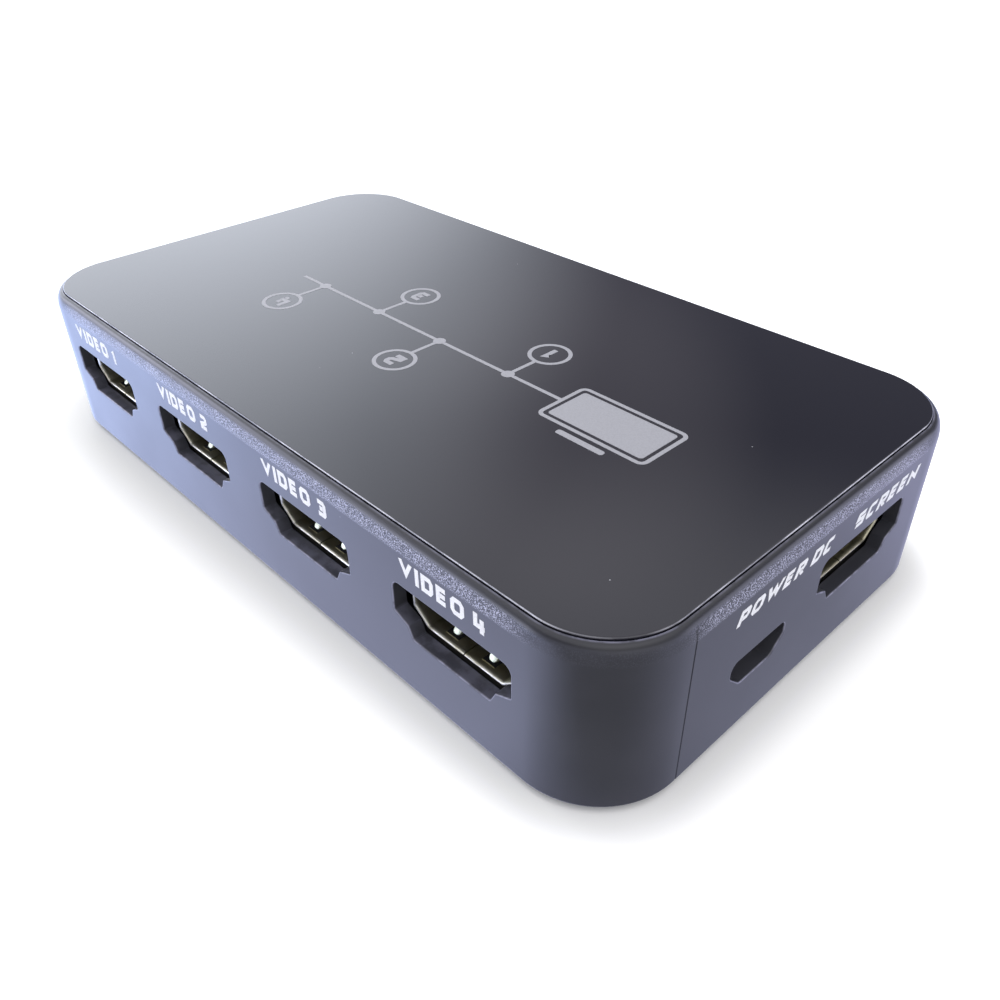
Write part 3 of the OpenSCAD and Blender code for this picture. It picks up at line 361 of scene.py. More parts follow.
class SwitchBoxStage(bpy.types.PropertyGroup):
    """Camera, floor and light."""

    eye: bpy.props.FloatVectorProperty(
        name="Eye", description="Place of the camera", size=3, subtype="TRANSLATION",
        default=(81.866 * MM, -67.888 * MM, 71.056 * MM))
    target: bpy.props.FloatVectorProperty(
        name="Target", description="Point that the camera looks at", size=3, subtype="TRANSLATION",
        default=(31.170 * MM, -19.934 * MM, 20.602 * MM))
    roll: bpy.props.FloatProperty(
        name="Roll", description="Turn of the camera about its view", default=math.radians(-0.711),
        subtype="ANGLE")
    lens: bpy.props.FloatProperty(
        name="Lens", description="Focal length on a sensor 36 mm wide", default=33.26, unit="CAMERA")
    sky: amount("Sky", "Light from every side", 0.24)
    lift_near: amount("Lift near", "How much paler the floor beside the box is to the camera", 1.15)
    lift_far: amount("Lift far", "How much paler the floor away from the box is to the camera", 1.56)
    shade_near: length("Shade near", "Reach of the dark floor beside the near end", 5.5)
    shade_far: length("Shade far", "Reach of the dark floor beside the far end", 15.0)
    floor: colour("Floor", "Floor", (0.86, 0.858, 0.80))
    glow: amount("Glow", "Brightness of the floor as gloss shows it", 4.5)
    glow_far: colour("Glow far", "Floor at the far end as gloss shows it", (0.50, 0.60, 0.94))
    glow_near: colour("Glow near", "Floor at the near end as gloss shows it", (0.325, 0.35, 0.505))
    glow_right: colour("Glow right", "Floor to the right as gloss shows it", (0.13, 0.135, 0.185))
    glow_back: colour("Glow back", "Floor at the right's far end as gloss shows it", (0.23, 0.235, 0.35))
    glow_corner: colour("Glow corner", "Floor at the corner as gloss shows it", (0.035, 0.035, 0.042))


class SwitchBoxSettings(bpy.types.PropertyGroup):
    """All settings of the switch box."""

    case: bpy.props.PointerProperty(name="Case", type=SwitchBoxCase)
    ports: bpy.props.PointerProperty(name="Ports", type=SwitchBoxPorts)
    controls: bpy.props.PointerProperty(name="Controls", type=SwitchBoxControls)
    print: bpy.props.PointerProperty(name="Print", type=SwitchBoxPrint)
    colours: bpy.props.PointerProperty(name="Colours", type=SwitchBoxColours)
    stage: bpy.props.PointerProperty(name="Stage", type=SwitchBoxStage)


# Surfaces

class Skin:
    """Patches of closed surfaces, kept as arrays until they are welded into one mesh."""

    def __init__(self):
        self.points = []
        self.faces = []
        self.wear = []
        self.count = 0

    def add(self, points, faces, wear=0.0):
        """Adds points with their painted light, and faces of equal length that index them."""
        points = np.reshape(points, (-1, 3))
        self.faces += (np.asarray(faces) + self.count).tolist()
        self.points.append(points)
        self.wear.append(np.broadcast_to(np.ravel(wear), len(points)))
        self.count += len(points)

    def grid(self, points, loop_u=False, loop_v=False, wear=0.0):
        """Adds the quads of a grid of points [u, v]; they face along u crossed with v."""
        columns, rows = points.shape[:2]
        index = np.arange(columns * rows).reshape(columns, rows)
        if loop_u:
            index = np.concatenate([index, index[:1]])
        if loop_v:
            index = np.concatenate([index, index[:, :1]], axis=1)
        quads = np.stack([index[:-1, :-1], index[1:, :-1], index[1:, 1:], index[:-1, 1:]], axis=-1)
        self.add(points, quads.reshape(-1, 4), np.broadcast_to(wear, (columns, rows)))

    def cap(self, ring):
        """Adds one flat face through a ring of points, counter-clockwise as seen from outside."""
        self.add(ring, np.arange(len(ring))[None])

    def solid(self, points, wear=0.0):
        """Adds a grid that closes on itself in u, with a flat face on its first and its last row."""
        self.grid(points, loop_u=True, wear=wear)
        self.cap(points[::-1, 0])
        self.cap(points[:, -1])

    def piece(self, name, slot=None, replaces=(), body="case", look=None):
        """Welds the patches into an object that rides on a body and stands for CAD nodes.

        Its finish is that of its slot, unless it has a look of its own.
        """
        mesh = bpy.data.meshes.new(name)
        mesh.from_pydata(np.concatenate(self.points).tolist(), [], self.faces)
        painted_lit = mesh.attributes.new("wear", "FLOAT", "POINT")
        painted_lit.data.foreach_set("value", np.concatenate(self.wear).astype(np.float32))
        weld = bmesh.new()
        weld.from_mesh(mesh)
        bmesh.ops.remove_doubles(weld, verts=weld.verts, dist=WELD)
        weld.to_mesh(mesh)
        weld.free()
        mesh.shade_smooth()
        mesh.set_sharp_from_angle(angle=SHARP_ANGLE)
        mesh.materials.append(finish(look or slot))
        piece = bpy.data.objects.new(name, mesh)
        bpy.context.scene.collection.objects.link(piece)
        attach(piece, body)
        if replaces:
            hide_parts(*replaces)


def unit(rows):
    """Rows of directions, each made one long."""
    return rows / np.linalg.norm(rows, axis=1, keepdims=True)


def on_wall(side, across, height, out):
    """World points on a wall: across to the right as seen from outside, height, and out from its face."""
    across, height, out = np.broadcast_arrays(across, height, out)
    flat = across[..., None] * ALONG[side] + (FACE[side] + out)[..., None] * OUTWARD[side]
    return np.concatenate([flat, height[..., None]], axis=-1)


def arc(centre, radius, start, end, steps):
    """Points of a circle's arc from one angle in degrees to another."""
    turn = np.radians(np.linspace(start, end, steps + 1))
    return np.array(centre) + radius * np.stack([np.cos(turn), np.sin(turn)], axis=1)


def circle(centre, radius, steps=72):
    """Closed round outline with its outward normals."""
    turn = np.linspace(0, 2 * np.pi, steps, endpoint=False)
    normals = np.stack([np.cos(turn), np.sin(turn)], axis=1)
    return np.array(centre) + radius * normals, normals


def rounded_outline(corners, radii, steps=8):
    """Closed outline through rounded corners, counter-clockwise, with its outward normals.

    A corner is cut back on both edges by its radius over the tangent of half its angle. The arc between
    the cuts lies about the point on the bisector at the radius over the sine of half the angle.
    """
    corners = np.array(corners, dtype=float)
    radii = np.broadcast_to(np.array(radii, dtype=float), len(corners))[:, None]
    before = unit(np.roll(corners, 1, axis=0) - corners)
    after = unit(np.roll(corners, -1, axis=0) - corners)
    half = np.arccos(np.sum(before * after, axis=1, keepdims=True)) / 2
    centre = corners + unit(before + after) * radii / np.sin(half)
    first = (corners + before * radii / np.tan(half) - centre) / radii
    last = (corners + after * radii / np.tan(half) - centre) / radii
    turn = (np.pi - 2 * half)[:, None]
    share = np.linspace(0, 1, steps + 1)[None, :, None]
    rays = np.sin((1 - share) * turn) * first[:, None] + np.sin(share * turn) * last[:, None]
    rays /= np.sin(turn)
    bulge = np.sign(before[:, 1] * after[:, 0] - before[:, 0] * after[:, 1])[:, None, None]
    points = centre[:, None] + radii[:, None] * rays
    return points.reshape(-1, 2), (bulge * rays).reshape(-1, 2)


def box_outline(centre, width, depth, radius, steps=6):
    """Rounded rectangle about a centre, with its outward normals."""
    return rounded_outline(QUARTERS * [width / 2, depth / 2] + centre, radius, steps)


def sweep(outline, normals, profile, groove=None):
    """Grid of a profile of (inset, height) pairs carried round an outline.

    A point is the outline's point moved against its normal by the inset, at the height. A groove adds to
    the inset of each column, and fades out where the profile leaves the outer face.
    """
    inset, height = np.array(profile, dtype=float).T
    inset = np.broadcast_to(inset, (len(outline), len(inset)))
    if groove is not None:
        inset = inset + groove[:, None] * np.clip(1 - inset / GROOVE_FADE, 0, 1)
    flat = outline[:, None] - inset[..., None] * normals[:, None]
    rise = np.broadcast_to(height[None, :, None], (*inset.shape, 1))
    return np.concatenate([flat, rise], axis=2)


def turned(profile, steps=48):
    """Grid of a profile of (radius, height) pairs turned about the third axis."""
    radius, height = np.array(profile, dtype=float).T
    turn = np.linspace(0, 2 * np.pi, steps, endpoint=False)[:, None]
    x = np.cos(turn) * radius
    return np.stack([x, np.sin(turn) * radius, np.broadcast_to(height, x.shape)], axis=-1)


def dome(radius, height, top, steps):
    """Profile of a low dome from its edge to its top, a quarter of an ellipse, as (radius, height) pairs."""
    turn = np.radians(np.linspace(0, 90, steps))
    return np.stack([radius * np.cos(turn), top + height * (np.sin(turn) - 1)], axis=1)


def pierced(loops):
    """Points and triangles that fill the first closed loop, less the other loops inside it."""
    corners = list(map(Vector, (np.concatenate(loops) / MM).tolist()))
    ends = np.cumsum([len(loop) for loop in loops]).tolist()
    rings = [list(range(end - len(loop), end)) for loop, end in zip(loops, ends)]
    points, _, faces, _, _, source = delaunay_2d_cdt(corners, [], rings, 1, 1e-6)
    kept = [face for face, origin in zip(faces, source) if origin == [0]]
    return np.array([tuple(point) for point in points]) * MM, np.array(kept)


def stroke(path, width, closed=False):
    """Right and left edge of a stroke along a path, mitred at its corners, [point, edge, axis]."""
    path = np.array(path, dtype=float)
    ahead = np.roll(path, -1, axis=0) - path
    behind = path - np.roll(path, 1, axis=0)
    if not closed:
        ahead[-1], behind[0] = behind[-1], ahead[0]
    middle = unit(ahead) + unit(behind)
    left = np.stack([-middle[:, 1], middle[:, 0]], axis=1)
    left *= width / np.sum(middle * middle, axis=1, keepdims=True)
    return np.stack([path - left, path + left], axis=1)


def add_ribbon(skin, edges, low, high, place, closed=False):
    """Adds a flat ribbon between two edges and two heights, put in its place by a function."""
    right, left = edges[:, 0], edges[:, 1]
    flat = np.stack([right, left, left, right], axis=1)
    rise = np.broadcast_to(np.array([high, high, low, low])[None, :, None], (*flat.shape[:2], 1))
    points = place(np.concatenate([flat, rise], axis=2))
    skin.grid(points, loop_u=closed, loop_v=True)
    if not closed:
        skin.cap(points[0])
        skin.cap(points[-1][::-1])


def add_words(skin, words, height, width, ink, place, slant=0.0):
    """Adds letters drawn with strokes, about the origin of their plane, and put in place by a function.

    Each letter's paths lie in a unit square, and its share of the width follows its own width.
    """
    widths = np.array([GLYPHS[letter][0] for letter in words])
    starts = np.cumsum(widths + LETTER_GAP) - widths - LETTER_GAP
    total = starts[-1] + widths[-1]
    scale = np.array([width / total, height])
    for letter, start in zip(words, starts):
        wide, paths = GLYPHS[letter]
        for path in paths:
            closed = len(path) > 2 and path[0] == path[-1]
            centre = np.array(path[:-1] if closed else path, dtype=float)
            centre = centre * [wide - LETTER_STROKE, 1 - LETTER_STROKE] + LETTER_STROKE / 2
            edges = stroke(centre, LETTER_STROKE, closed)
            edges[..., 1] = np.clip(edges[..., 1], 0, 1) - 0.5
            edges[..., 0] += start - total / 2 + slant * edges[..., 1]
            add_ribbon(skin, edges * scale, -INK_SINK, ink, place, closed)


# Case

def case_columns(case):
    """Outline of the case from above, with its normals, the depth of the mould line and the flat spans.

    Each side adds its ends, the right side its mould line, and each corner the steps of its round.
    """
    radius = case.corner_radius
    turn = np.linspace(0, np.pi / 2, CORNER_STEPS + 1)[1:-1, None]
    outline, normals, groove, spans = [], [], [], []
    count = 0
    for side in range(4):
        reach = FACE[(side + 1) % 4] - radius
        stops = np.array([-reach, reach])
        depth = np.zeros(2)
        if side == RIGHT:
            marks = case.seam_width * np.array([-0.5, 0, 0.5])
            stops = np.concatenate([[-reach], marks + case.seam_set - reach, [reach]])
            depth = case.seam_depth * np.array([0, 0, 1, 0, 0])
        spans.append(count + len(stops) - 2)
        corner = ALONG[side] * reach + OUTWARD[side] * (FACE[side] - radius)
        bend = np.cos(turn) * OUTWARD[side] + np.sin(turn) * ALONG[side]
        outline += [stops[:, None] * ALONG[side] + FACE[side] * OUTWARD[side], corner + radius * bend]
        normals += [np.tile(OUTWARD[side], (len(stops), 1)), bend]
        groove += [depth, np.zeros(len(turn))]
        count += len(stops) + len(turn)
    return np.concatenate(outline), np.concatenate(normals), np.concatenate(groove), spans


def straightness(normals, bent, straight):
    """Column of values over an outline: one in the middle of its bends, another along its straight sides."""
    return np.interp(np.abs(normals).min(axis=1), [0, 0.4], [straight, bent])[:, None]


def middle_of(node, side):
    """Place of a CAD node along a wall, to the right as seen from outside."""
    low, high = node_box(node)
    return float((low + high)[:2] @ ALONG[side] / 2)


def video_port(ports, across):
    """Outline of a video socket's cut-out: wide above, with a shouldered step down to a narrower floor."""
    half = ports.sleeve_width / 2 + ports.sleeve_sheet + ports.side_gap
    low = BOARD_TOP - ports.floor_gap
    high = BOARD_TOP + ports.sleeve_height + 2 * ports.sleeve_sheet + ports.top_gap
    step = low + ports.step_height
    shoulder = low + ports.shoulder_height
    inner = half - ports.shoulder_inset
    floor = half - ports.floor_inset
    corners = np.array([
        [-floor, low], [floor, low], [inner, shoulder], [half, step],
        [half, high], [-half, high], [-half, step], [-inner, shoulder]])
    radii = np.full(len(corners), PORT_ROUND)
    radii[4:6] = ports.corner
    return rounded_outline(corners + [across, 0], radii)


def leaning_outline(width, height, floor, lean, radius, low, steps=6):
    """Outline of a socket: upright sides above, sides that lean in to a narrower floor below."""
    corners = [
        [floor / 2, low], [width / 2, low + lean], [width / 2, low + height],
        [-width / 2, low + height], [-width / 2, low + lean], [-floor / 2, low]]
    return rounded_outline(corners, radius, steps)


def inlet_port(ports, across):
    """Outline of the power inlet's cut-out: the sleeve's outline moved out by its sheet and its gap."""
    outline, normals = leaning_outline(
        ports.inlet_width, ports.inlet_height, ports.inlet_floor, ports.inlet_lean, ports.inlet_corner,
        BOARD_TOP - ports.inlet_drop)
    grown = outline + (ports.inlet_sheet + ports.inlet_gap) * normals
    return grown + [across, 0], normals


def wall_holes(settings):
    """Outlines of the cut-outs in each wall, with their normals."""
    ports, controls = settings.ports, settings.controls
    holes = [[], [], [], []]
    for socket, side in SOCKETS.items():
        holes[side].append(video_port(ports, middle_of(socket + "_shell", side)))
    holes[RIGHT].append(inlet_port(ports, middle_of("power_inlet_shell", RIGHT)))
    level = front_level()
    button = controls.button_diameter / 2 + controls.button_gap
    window = controls.window_diameter / 2 + controls.pin_gap
    holes[FRONT].append(circle((middle_of("select_button", FRONT), level), button))
    holes[FRONT].append(circle((middle_of("ir_window", FRONT), level), window))
    pin = controls.pin_diameter / 2 + controls.pin_gap
    holes[FRONT] += [circle((place, level), pin, 48) for place in pin_places(controls)]
    return holes


def front_level():
    """Height of the front controls' middles."""
    low, high = node_box("select_button")
    return float(low[2] + high[2]) / 2


def pin_places(controls):
    """Places of the light pins along the front wall."""
    return middle_of("light_pipe", FRONT) + controls.pin_pitch * np.arange(-2, 3)


def add_hole(skin, side, outline, normals, lip, wall):
    """Adds a cut-out's rounded lip and its tunnel through the wall.

    The rows run over the wall's face towards the cut-out, round the lip, and in to the inner face. The
    middle of the lip carries a painted highlight, and the tunnel's floor a little painted light.
    """
    rows = np.vstack([
        [[lip + SUPPORT, 0]], arc((lip, -lip), lip, 90, 180, 5), [[0, -lip - SUPPORT], [0, -wall]]])
    # Painted light on the tunnel's floor on the rear wall, and a painted highlight round the middle of the
    # lip
    sill = np.clip(-SILL_PAINTED_LIGHT[side] * normals[:, 1:], 0, 1) * [0, 0, 0, 0, 0, 0.5, 1, 1, 1]
    painted_lit = sill + [0, 0, 0.5, 1, 1, 0.5, 0, 0, 0]
    flat = outline[:, None] + rows[None, :, :1] * normals[:, None]
    skin.grid(on_wall(side, flat[..., 0], flat[..., 1], rows[None, :, 1]), loop_u=True, wear=painted_lit)


def add_tube(skin, centre, diameter, hole, depth, low, high):
    """Adds a round post that hangs from the deck, with a pilot hole from below."""
    profile = [
        [0, low + depth], [hole / 2, low + depth], [hole / 2, low], [diameter / 2, low],
        [diameter / 2, high], [0, high]]
    skin.grid(turned(profile, 40) + [*centre, 0], loop_u=True)


def case_skin(settings):
    """Skin of the moulded case: walls with their cut-outs, rounded edges, recess, deck, bosses and posts."""
    case = settings.case
    skin = Skin()
    outline, normals, groove, spans = case_columns(case)
    low, rim = SHELL_LOW[2], SHELL_HIGH[2]
    deck = RECESS - case.deck
    foot_row = low + case.foot_edge + SUPPORT
    rim_row = rim - case.rim_drop - SUPPORT
    recess = case.rim_radius + case.rim_land
    foot = np.vstack([
        [[case.wall, foot_row], [case.wall, low]],
        arc((case.foot_edge, low + case.foot_edge), case.foot_edge, 270, 180, 5), [[0, foot_row]]])
    round_rim = arc((1, 0), 1, 180, 90, 18) * [case.rim_radius, case.rim_drop] + [0, rim - case.rim_drop]
    edge = np.vstack([[[0, rim_row]], round_rim, [[recess, rim], [recess, RECESS]]])
    # Painted highlight along the rim's inner edge, stronger at the corners
    painted_lit = np.zeros((len(outline), len(edge)))
    painted_lit[:, -4:-1] = np.array([0.4, 0.9, 1.0]) * straightness(normals, 1.0, 0.6)
    skin.grid(sweep(outline, normals, foot, groove), loop_u=True)
    top = sweep(outline, normals, edge, groove)
    skin.grid(top, loop_u=True, wear=painted_lit)
    skin.cap(top[:, -1])
    ceiling = sweep(outline, normals, [[case.wall, deck]])
    skin.cap(ceiling[::-1, 0])
    holes = wall_holes(settings)
    for side in range(4):
        ends = spans[side] + 1, spans[(side + 1) % 4]
        columns = np.arange(ends[0], ends[1] + 1 + len(outline) * (side == LEFT)) % len(outline)
        bend = outline[columns], normals[columns]
        skin.grid(sweep(*bend, [[0, foot_row], [0, rim_row]], groove[columns]))
        skin.grid(sweep(*bend, [[case.wall, deck], [case.wall, foot_row]]))
        left, right = outline[spans[side]:spans[side] + 2] @ ALONG[side]
        lip = case.lip_radius + SUPPORT
        face = np.array([[left, foot_row], [right, foot_row], [right, rim_row], [left, rim_row]])
        points, faces = pierced([face] + [hole + lip * out for hole, out in holes[side]])
        skin.add(on_wall(side, points[:, 0], points[:, 1], 0), faces)
        face[2:, 1] = deck
        points, faces = pierced([face] + [hole for hole, out in holes[side]])
        skin.add(on_wall(side, points[:, 0], points[:, 1], -case.wall), faces[:, ::-1])
        for hole, out in holes[side]:
            add_hole(skin, side, hole, out, case.lip_radius, case.wall)
    base = node_box("base_plate")[1][2]
    for place in QUARTERS * (SHELL_HIGH[:2] - BOSS_INSET):
        add_tube(skin, place, *BOSS, base, deck + LAP)
    for place in POST_PLACES:
        add_tube(skin, place, *POST, BOARD_TOP, deck + LAP)
    return skin


# Sockets

def in_socket(side, across, points):
    """World points of a socket's own points: across, depth from the wall's face, height."""
    return on_wall(side, across + points[..., 0], points[..., 2], -points[..., 1])


def add_sleeve(skin, side, across, outline, normals, sheet, depth, mouth, seam, flare):
    """Adds a folded sleeve: a strip with a flared lip, bent round the outline and open at a seam.

    Each point lies out from the inner outline by its share of the sheet. The section runs forward along
    the outer face, round the lip, and back over the flare along the inner face.
    """
    start = np.array([[seam / 2, outline[0, 1]]])
    path = np.vstack([start, outline, start * [-1, 1]])
    out = np.vstack([[[0, -1]], normals, [[0, -1]]])
    lip = 0.3 * sheet
    inner = arc((1, 1), 1, -90, -180, 6) * [2 * lip, flare]
    section = np.vstack([
        [[sheet, depth], [sheet, lip + SUPPORT]], arc((sheet - lip, lip), lip, 0, -90, 4),
        inner, [[0, flare + SUPPORT], [0, flare + PAINTED_LIGHT_DEPTH], [0, depth]]])
    # Painted highlights on the flared lip, and painted light on the inner face behind it, more on the rear
    # wall
    painted_lit = np.zeros(len(section))
    painted_lit[3:7] = 0.5, 1, 1, 1
    painted_lit[7:15] = np.linspace(1.0, 0.25, 8) * SLEEVE_PAINTED_LIGHT[side]
    flat = path[:, None] + section[None, :, :1] * out[:, None]
    deep = np.broadcast_to(mouth + section[None, :, 1], flat.shape[:2])
    points = in_socket(side, across, np.stack([flat[..., 0], deep, flat[..., 1]], axis=-1))
    skin.grid(points, loop_v=True, wear=painted_lit)
    skin.cap(points[0])
    skin.cap(points[-1][::-1])


def add_block(skin, side, across, centre, width, depth, low, high, edge):
    """Adds a small block with rounded edges in a socket's own places."""
    outline, normals = box_outline(centre, width, depth, edge * 1.5, 4)
    profile = np.vstack([[[edge, low], [0, low + edge]], arc((edge, high - edge), edge, 180, 90, 3)])
    skin.solid(in_socket(side, across, sweep(outline, normals, profile)))


def add_springs(sleeve, slots, bumps, side, across, ports, floor):
    """Adds two dark plates as painted shade for the open slot under each spring finger, their front edges
    and the springs' bumps.

    A bump is a short round bar with a softly rounded face, which leans towards the mouth.
    """
    radius, foot = ports.bump_radius, -ports.bump_length
    face = dome(radius, ports.bump_height, ports.bump_height, 11)
    x, deep, rise = np.moveaxis(turned(np.vstack([[[0, foot], [radius, foot]], face]), 36), -1, 0)
    cosine, sine = math.cos(ports.bump_lean), math.sin(ports.bump_lean)
    leaning = np.stack([x, deep * cosine - rise * sine, deep * sine + rise * cosine], axis=-1)
    low, thin = floor - SLOT_SINK, SLOT_RISE
    front = ports.mouth + ports.slot_set
    for place in (-ports.finger_place, ports.finger_place):
        # Dark plate on the floor that stands for the open slot: painted shade
        add_block(slots, side, across, (place, front + ports.slot_length / 2), ports.slot_width,
                  ports.slot_length, low, floor + thin, thin / 4)
        add_block(sleeve, side, across, (place, front), ports.slot_width, 4 * thin, low,
                  floor + 2 * thin, thin / 2)
        bump = leaning + [place, ports.mouth + ports.bump_set, floor + 0.8 * radius * sine]
        bumps.grid(in_socket(side, across, bump), loop_u=True)


def add_legs(skin, side, across, ports):
    """Adds a video sleeve's four legs, which pass down through the board."""
    place = (ports.sleeve_width + ports.sleeve_sheet) / 2
    low = node_box("input_1_shell")[0][2]
    high = BOARD_TOP + ports.sleeve_sheet + ports.sleeve_lean + LAP
    for depth in LEG_DEPTHS:
        for left in (-1, 1):
            centre = (left * place, ports.mouth + depth)
            add_block(skin, side, across, centre, ports.sleeve_sheet, LEG_WIDTH, low, high, SHEET_EDGE)


# Nodes

def plug(tree, socket, value):
    """Joins a socket to another node's output, or sets its value."""
    if isinstance(value, bpy.types.NodeSocket):
        tree.links.new(value, socket)
    else:
        socket.default_value = value


def node(tree, kind, inputs=None, **settings):
    """Adds a node with its settings; an input is a value or another node's output."""
    made = tree.nodes.new(kind)
    for name, value in settings.items():
        setattr(made, name, value)
    for name, value in (inputs or {}).items():
        plug(tree, made.inputs[name], value)
    return made


def maths(tree, operation, first, second=0.0):
    """Output of a Math node on two values."""
    return node(tree, "ShaderNodeMath", {0: first, 1: second}, operation=operation).outputs[0]


def vector(tree, operation, first, second=(0, 0, 0), **inputs):
    """Output of a Vector Math node: a vector, or a number for a length or a dot product."""
    made = node(tree, "ShaderNodeVectorMath", {0: first, 1: second, **inputs}, operation=operation)
    return made.outputs["Value" if operation in ("LENGTH", "DOT_PRODUCT") else "Vector"]


def ramp(tree, value, low, high, start=0.0, end=1.0):
    """Output of a smooth step from one value to another."""
    inputs = {"Value": value, "From Min": low, "From Max": high, "To Min": start, "To Max": end}
    return node(tree, "ShaderNodeMapRange", inputs, interpolation_type="SMOOTHSTEP").outputs[0]


def rgba(value):
    """A colour with full opacity; another node's output stays as it is."""
    return value if isinstance(value, bpy.types.NodeSocket) else (*value, 1.0)


def blend(tree, share, first, second, **settings):
    """Output of a mix of two colours."""
    inputs = {0: share, 6: rgba(first), 7: rgba(second)}
    return node(tree, "ShaderNodeMix", inputs, data_type="RGBA", **settings).outputs[2]


def place_of(tree):
    """Output of the object's own coordinates."""
    return node(tree, "ShaderNodeTexCoord").outputs["Object"]


def axes(tree, value):
    """Outputs of a vector's three parts."""
    return node(tree, "ShaderNodeSeparateXYZ", {0: value}).outputs[:]


def noise(tree, place, scale, detail, **inputs):
    """Output of a cloudy pattern."""
    inputs = {"Vector": place, "Scale": scale, "Detail": detail, **inputs}
    return node(tree, "ShaderNodeTexNoise", inputs).outputs[0]


def bump(tree, height, strength, depth, **inputs):
    """Normal of a surface that a height raises by a depth in millimetres."""
    inputs = {"Height": height, "Strength": strength, "Distance": depth * MM, **inputs}
    return node(tree, "ShaderNodeBump", inputs).outputs[0]


def shared_group(name, inputs, outputs):
    """Turns a function that fills a node group into one that gives the group, made on its first use.

    The function gets the tree, the object's coordinates and the group's inputs, and gives its outputs.
    """
    def wrap(fill):
        def give():
            if name not in bpy.data.node_groups:
                tree = bpy.data.node_groups.new(name, "ShaderNodeTree")
                for label, value in inputs.items():
                    socket = tree.interface.new_socket(label, in_out="INPUT", socket_type="NodeSocketFloat")
                    socket.default_value = value
                for label in outputs:
                    tree.interface.new_socket(label, in_out="OUTPUT", socket_type="NodeSocketFloat")
                start = tree.nodes.new("NodeGroupInput").outputs
                end = tree.nodes.new("NodeGroupOutput").inputs
                for label, value in zip(outputs, fill(tree, place_of(tree), start)):
                    tree.links.new(value, end[label])
            return bpy.data.node_groups[name]
        return give
    return wrap


@shared_group("Moulded grain", {"Scale": 4000.0, "Detail": 2.0}, ["Height", "Tone"])
def grain_group(tree, place, start):
    """Moulded grain: fine height, and slow change of tone over the piece."""
    fine = noise(tree, place, start["Scale"], start["Detail"], Roughness=0.55)
    return fine, noise(tree, place, 90.0, 3.0)


@shared_group("Sparse specks", {"Scale": 250.0, "Share": 0.2, "Radius": 0.03}, ["Mask"])
def speck_group(tree, place, start):
    """Sparse specks: small round dots in some of the cells of a random pattern."""
    cells = node(tree, "ShaderNodeTexVoronoi", {"Vector": place, "Scale": start["Scale"]}).outputs
    chance = node(tree, "ShaderNodeSeparateColor", {0: cells["Color"]}).outputs[0]
    chosen = maths(tree, "LESS_THAN", chance, start["Share"])
    near = maths(tree, "LESS_THAN", cells["Distance"], start["Radius"])
    return [maths(tree, "MULTIPLY", chosen, near)]


@shared_group("Height band", {"Low": 0.0, "High": 0.01, "Soft": 0.0002}, ["Mask"])
def band_group(tree, place, start):
    """Band between two heights of the object, with soft ends."""
    height, soft = axes(tree, place)[2], start["Soft"]
    rise = ramp(tree, height, start["Low"], maths(tree, "ADD", start["Low"], soft))
    fall = ramp(tree, height, start["High"], maths(tree, "ADD", start["High"], soft), 1.0, 0.0)
    return [maths(tree, "MULTIPLY", rise, fall)]


@shared_group("Worn edges", {"Scale": 600.0, "Least": 0.3}, ["Mask"])
def wear_group(tree, place, start):
    """Painted light kept on the mesh, broken up by a slow pattern: highlights on edges, light on floors."""
    wear = node(tree, "ShaderNodeAttribute", attribute_name="wear").outputs["Fac"]
    broken = ramp(tree, noise(tree, place, start["Scale"], 3.0), 0.35, 0.6, start["Least"], 1.0)
    return [maths(tree, "MULTIPLY", wear, broken)]


def group(tree, give, **inputs):
    """Outputs of a node group with its values set."""
    holder = tree.nodes.new("ShaderNodeGroup")
    holder.node_tree = give()
    for label, value in inputs.items():
        holder.inputs[label].default_value = value
    return holder.outputs


def new_material(name):
    """Empty material: the material, its tree and its surface shader, joined to the output."""
    material = bpy.data.materials.new(name)
    material.use_nodes = True
    tree = material.node_tree
    tree.nodes.clear()
    shader = tree.nodes.new("ShaderNodeBsdfPrincipled")
    output = tree.nodes.new("ShaderNodeOutputMaterial")
    tree.links.new(shader.outputs[0], output.inputs["Surface"])
    return material, tree, shader


def feed(tree, shader, **inputs):
    """Sets inputs of a shader, by values or by other nodes' outputs."""
    for label, value in inputs.items():
        plug(tree, shader.inputs[label.replace("_", " ")], value)


# Finishes

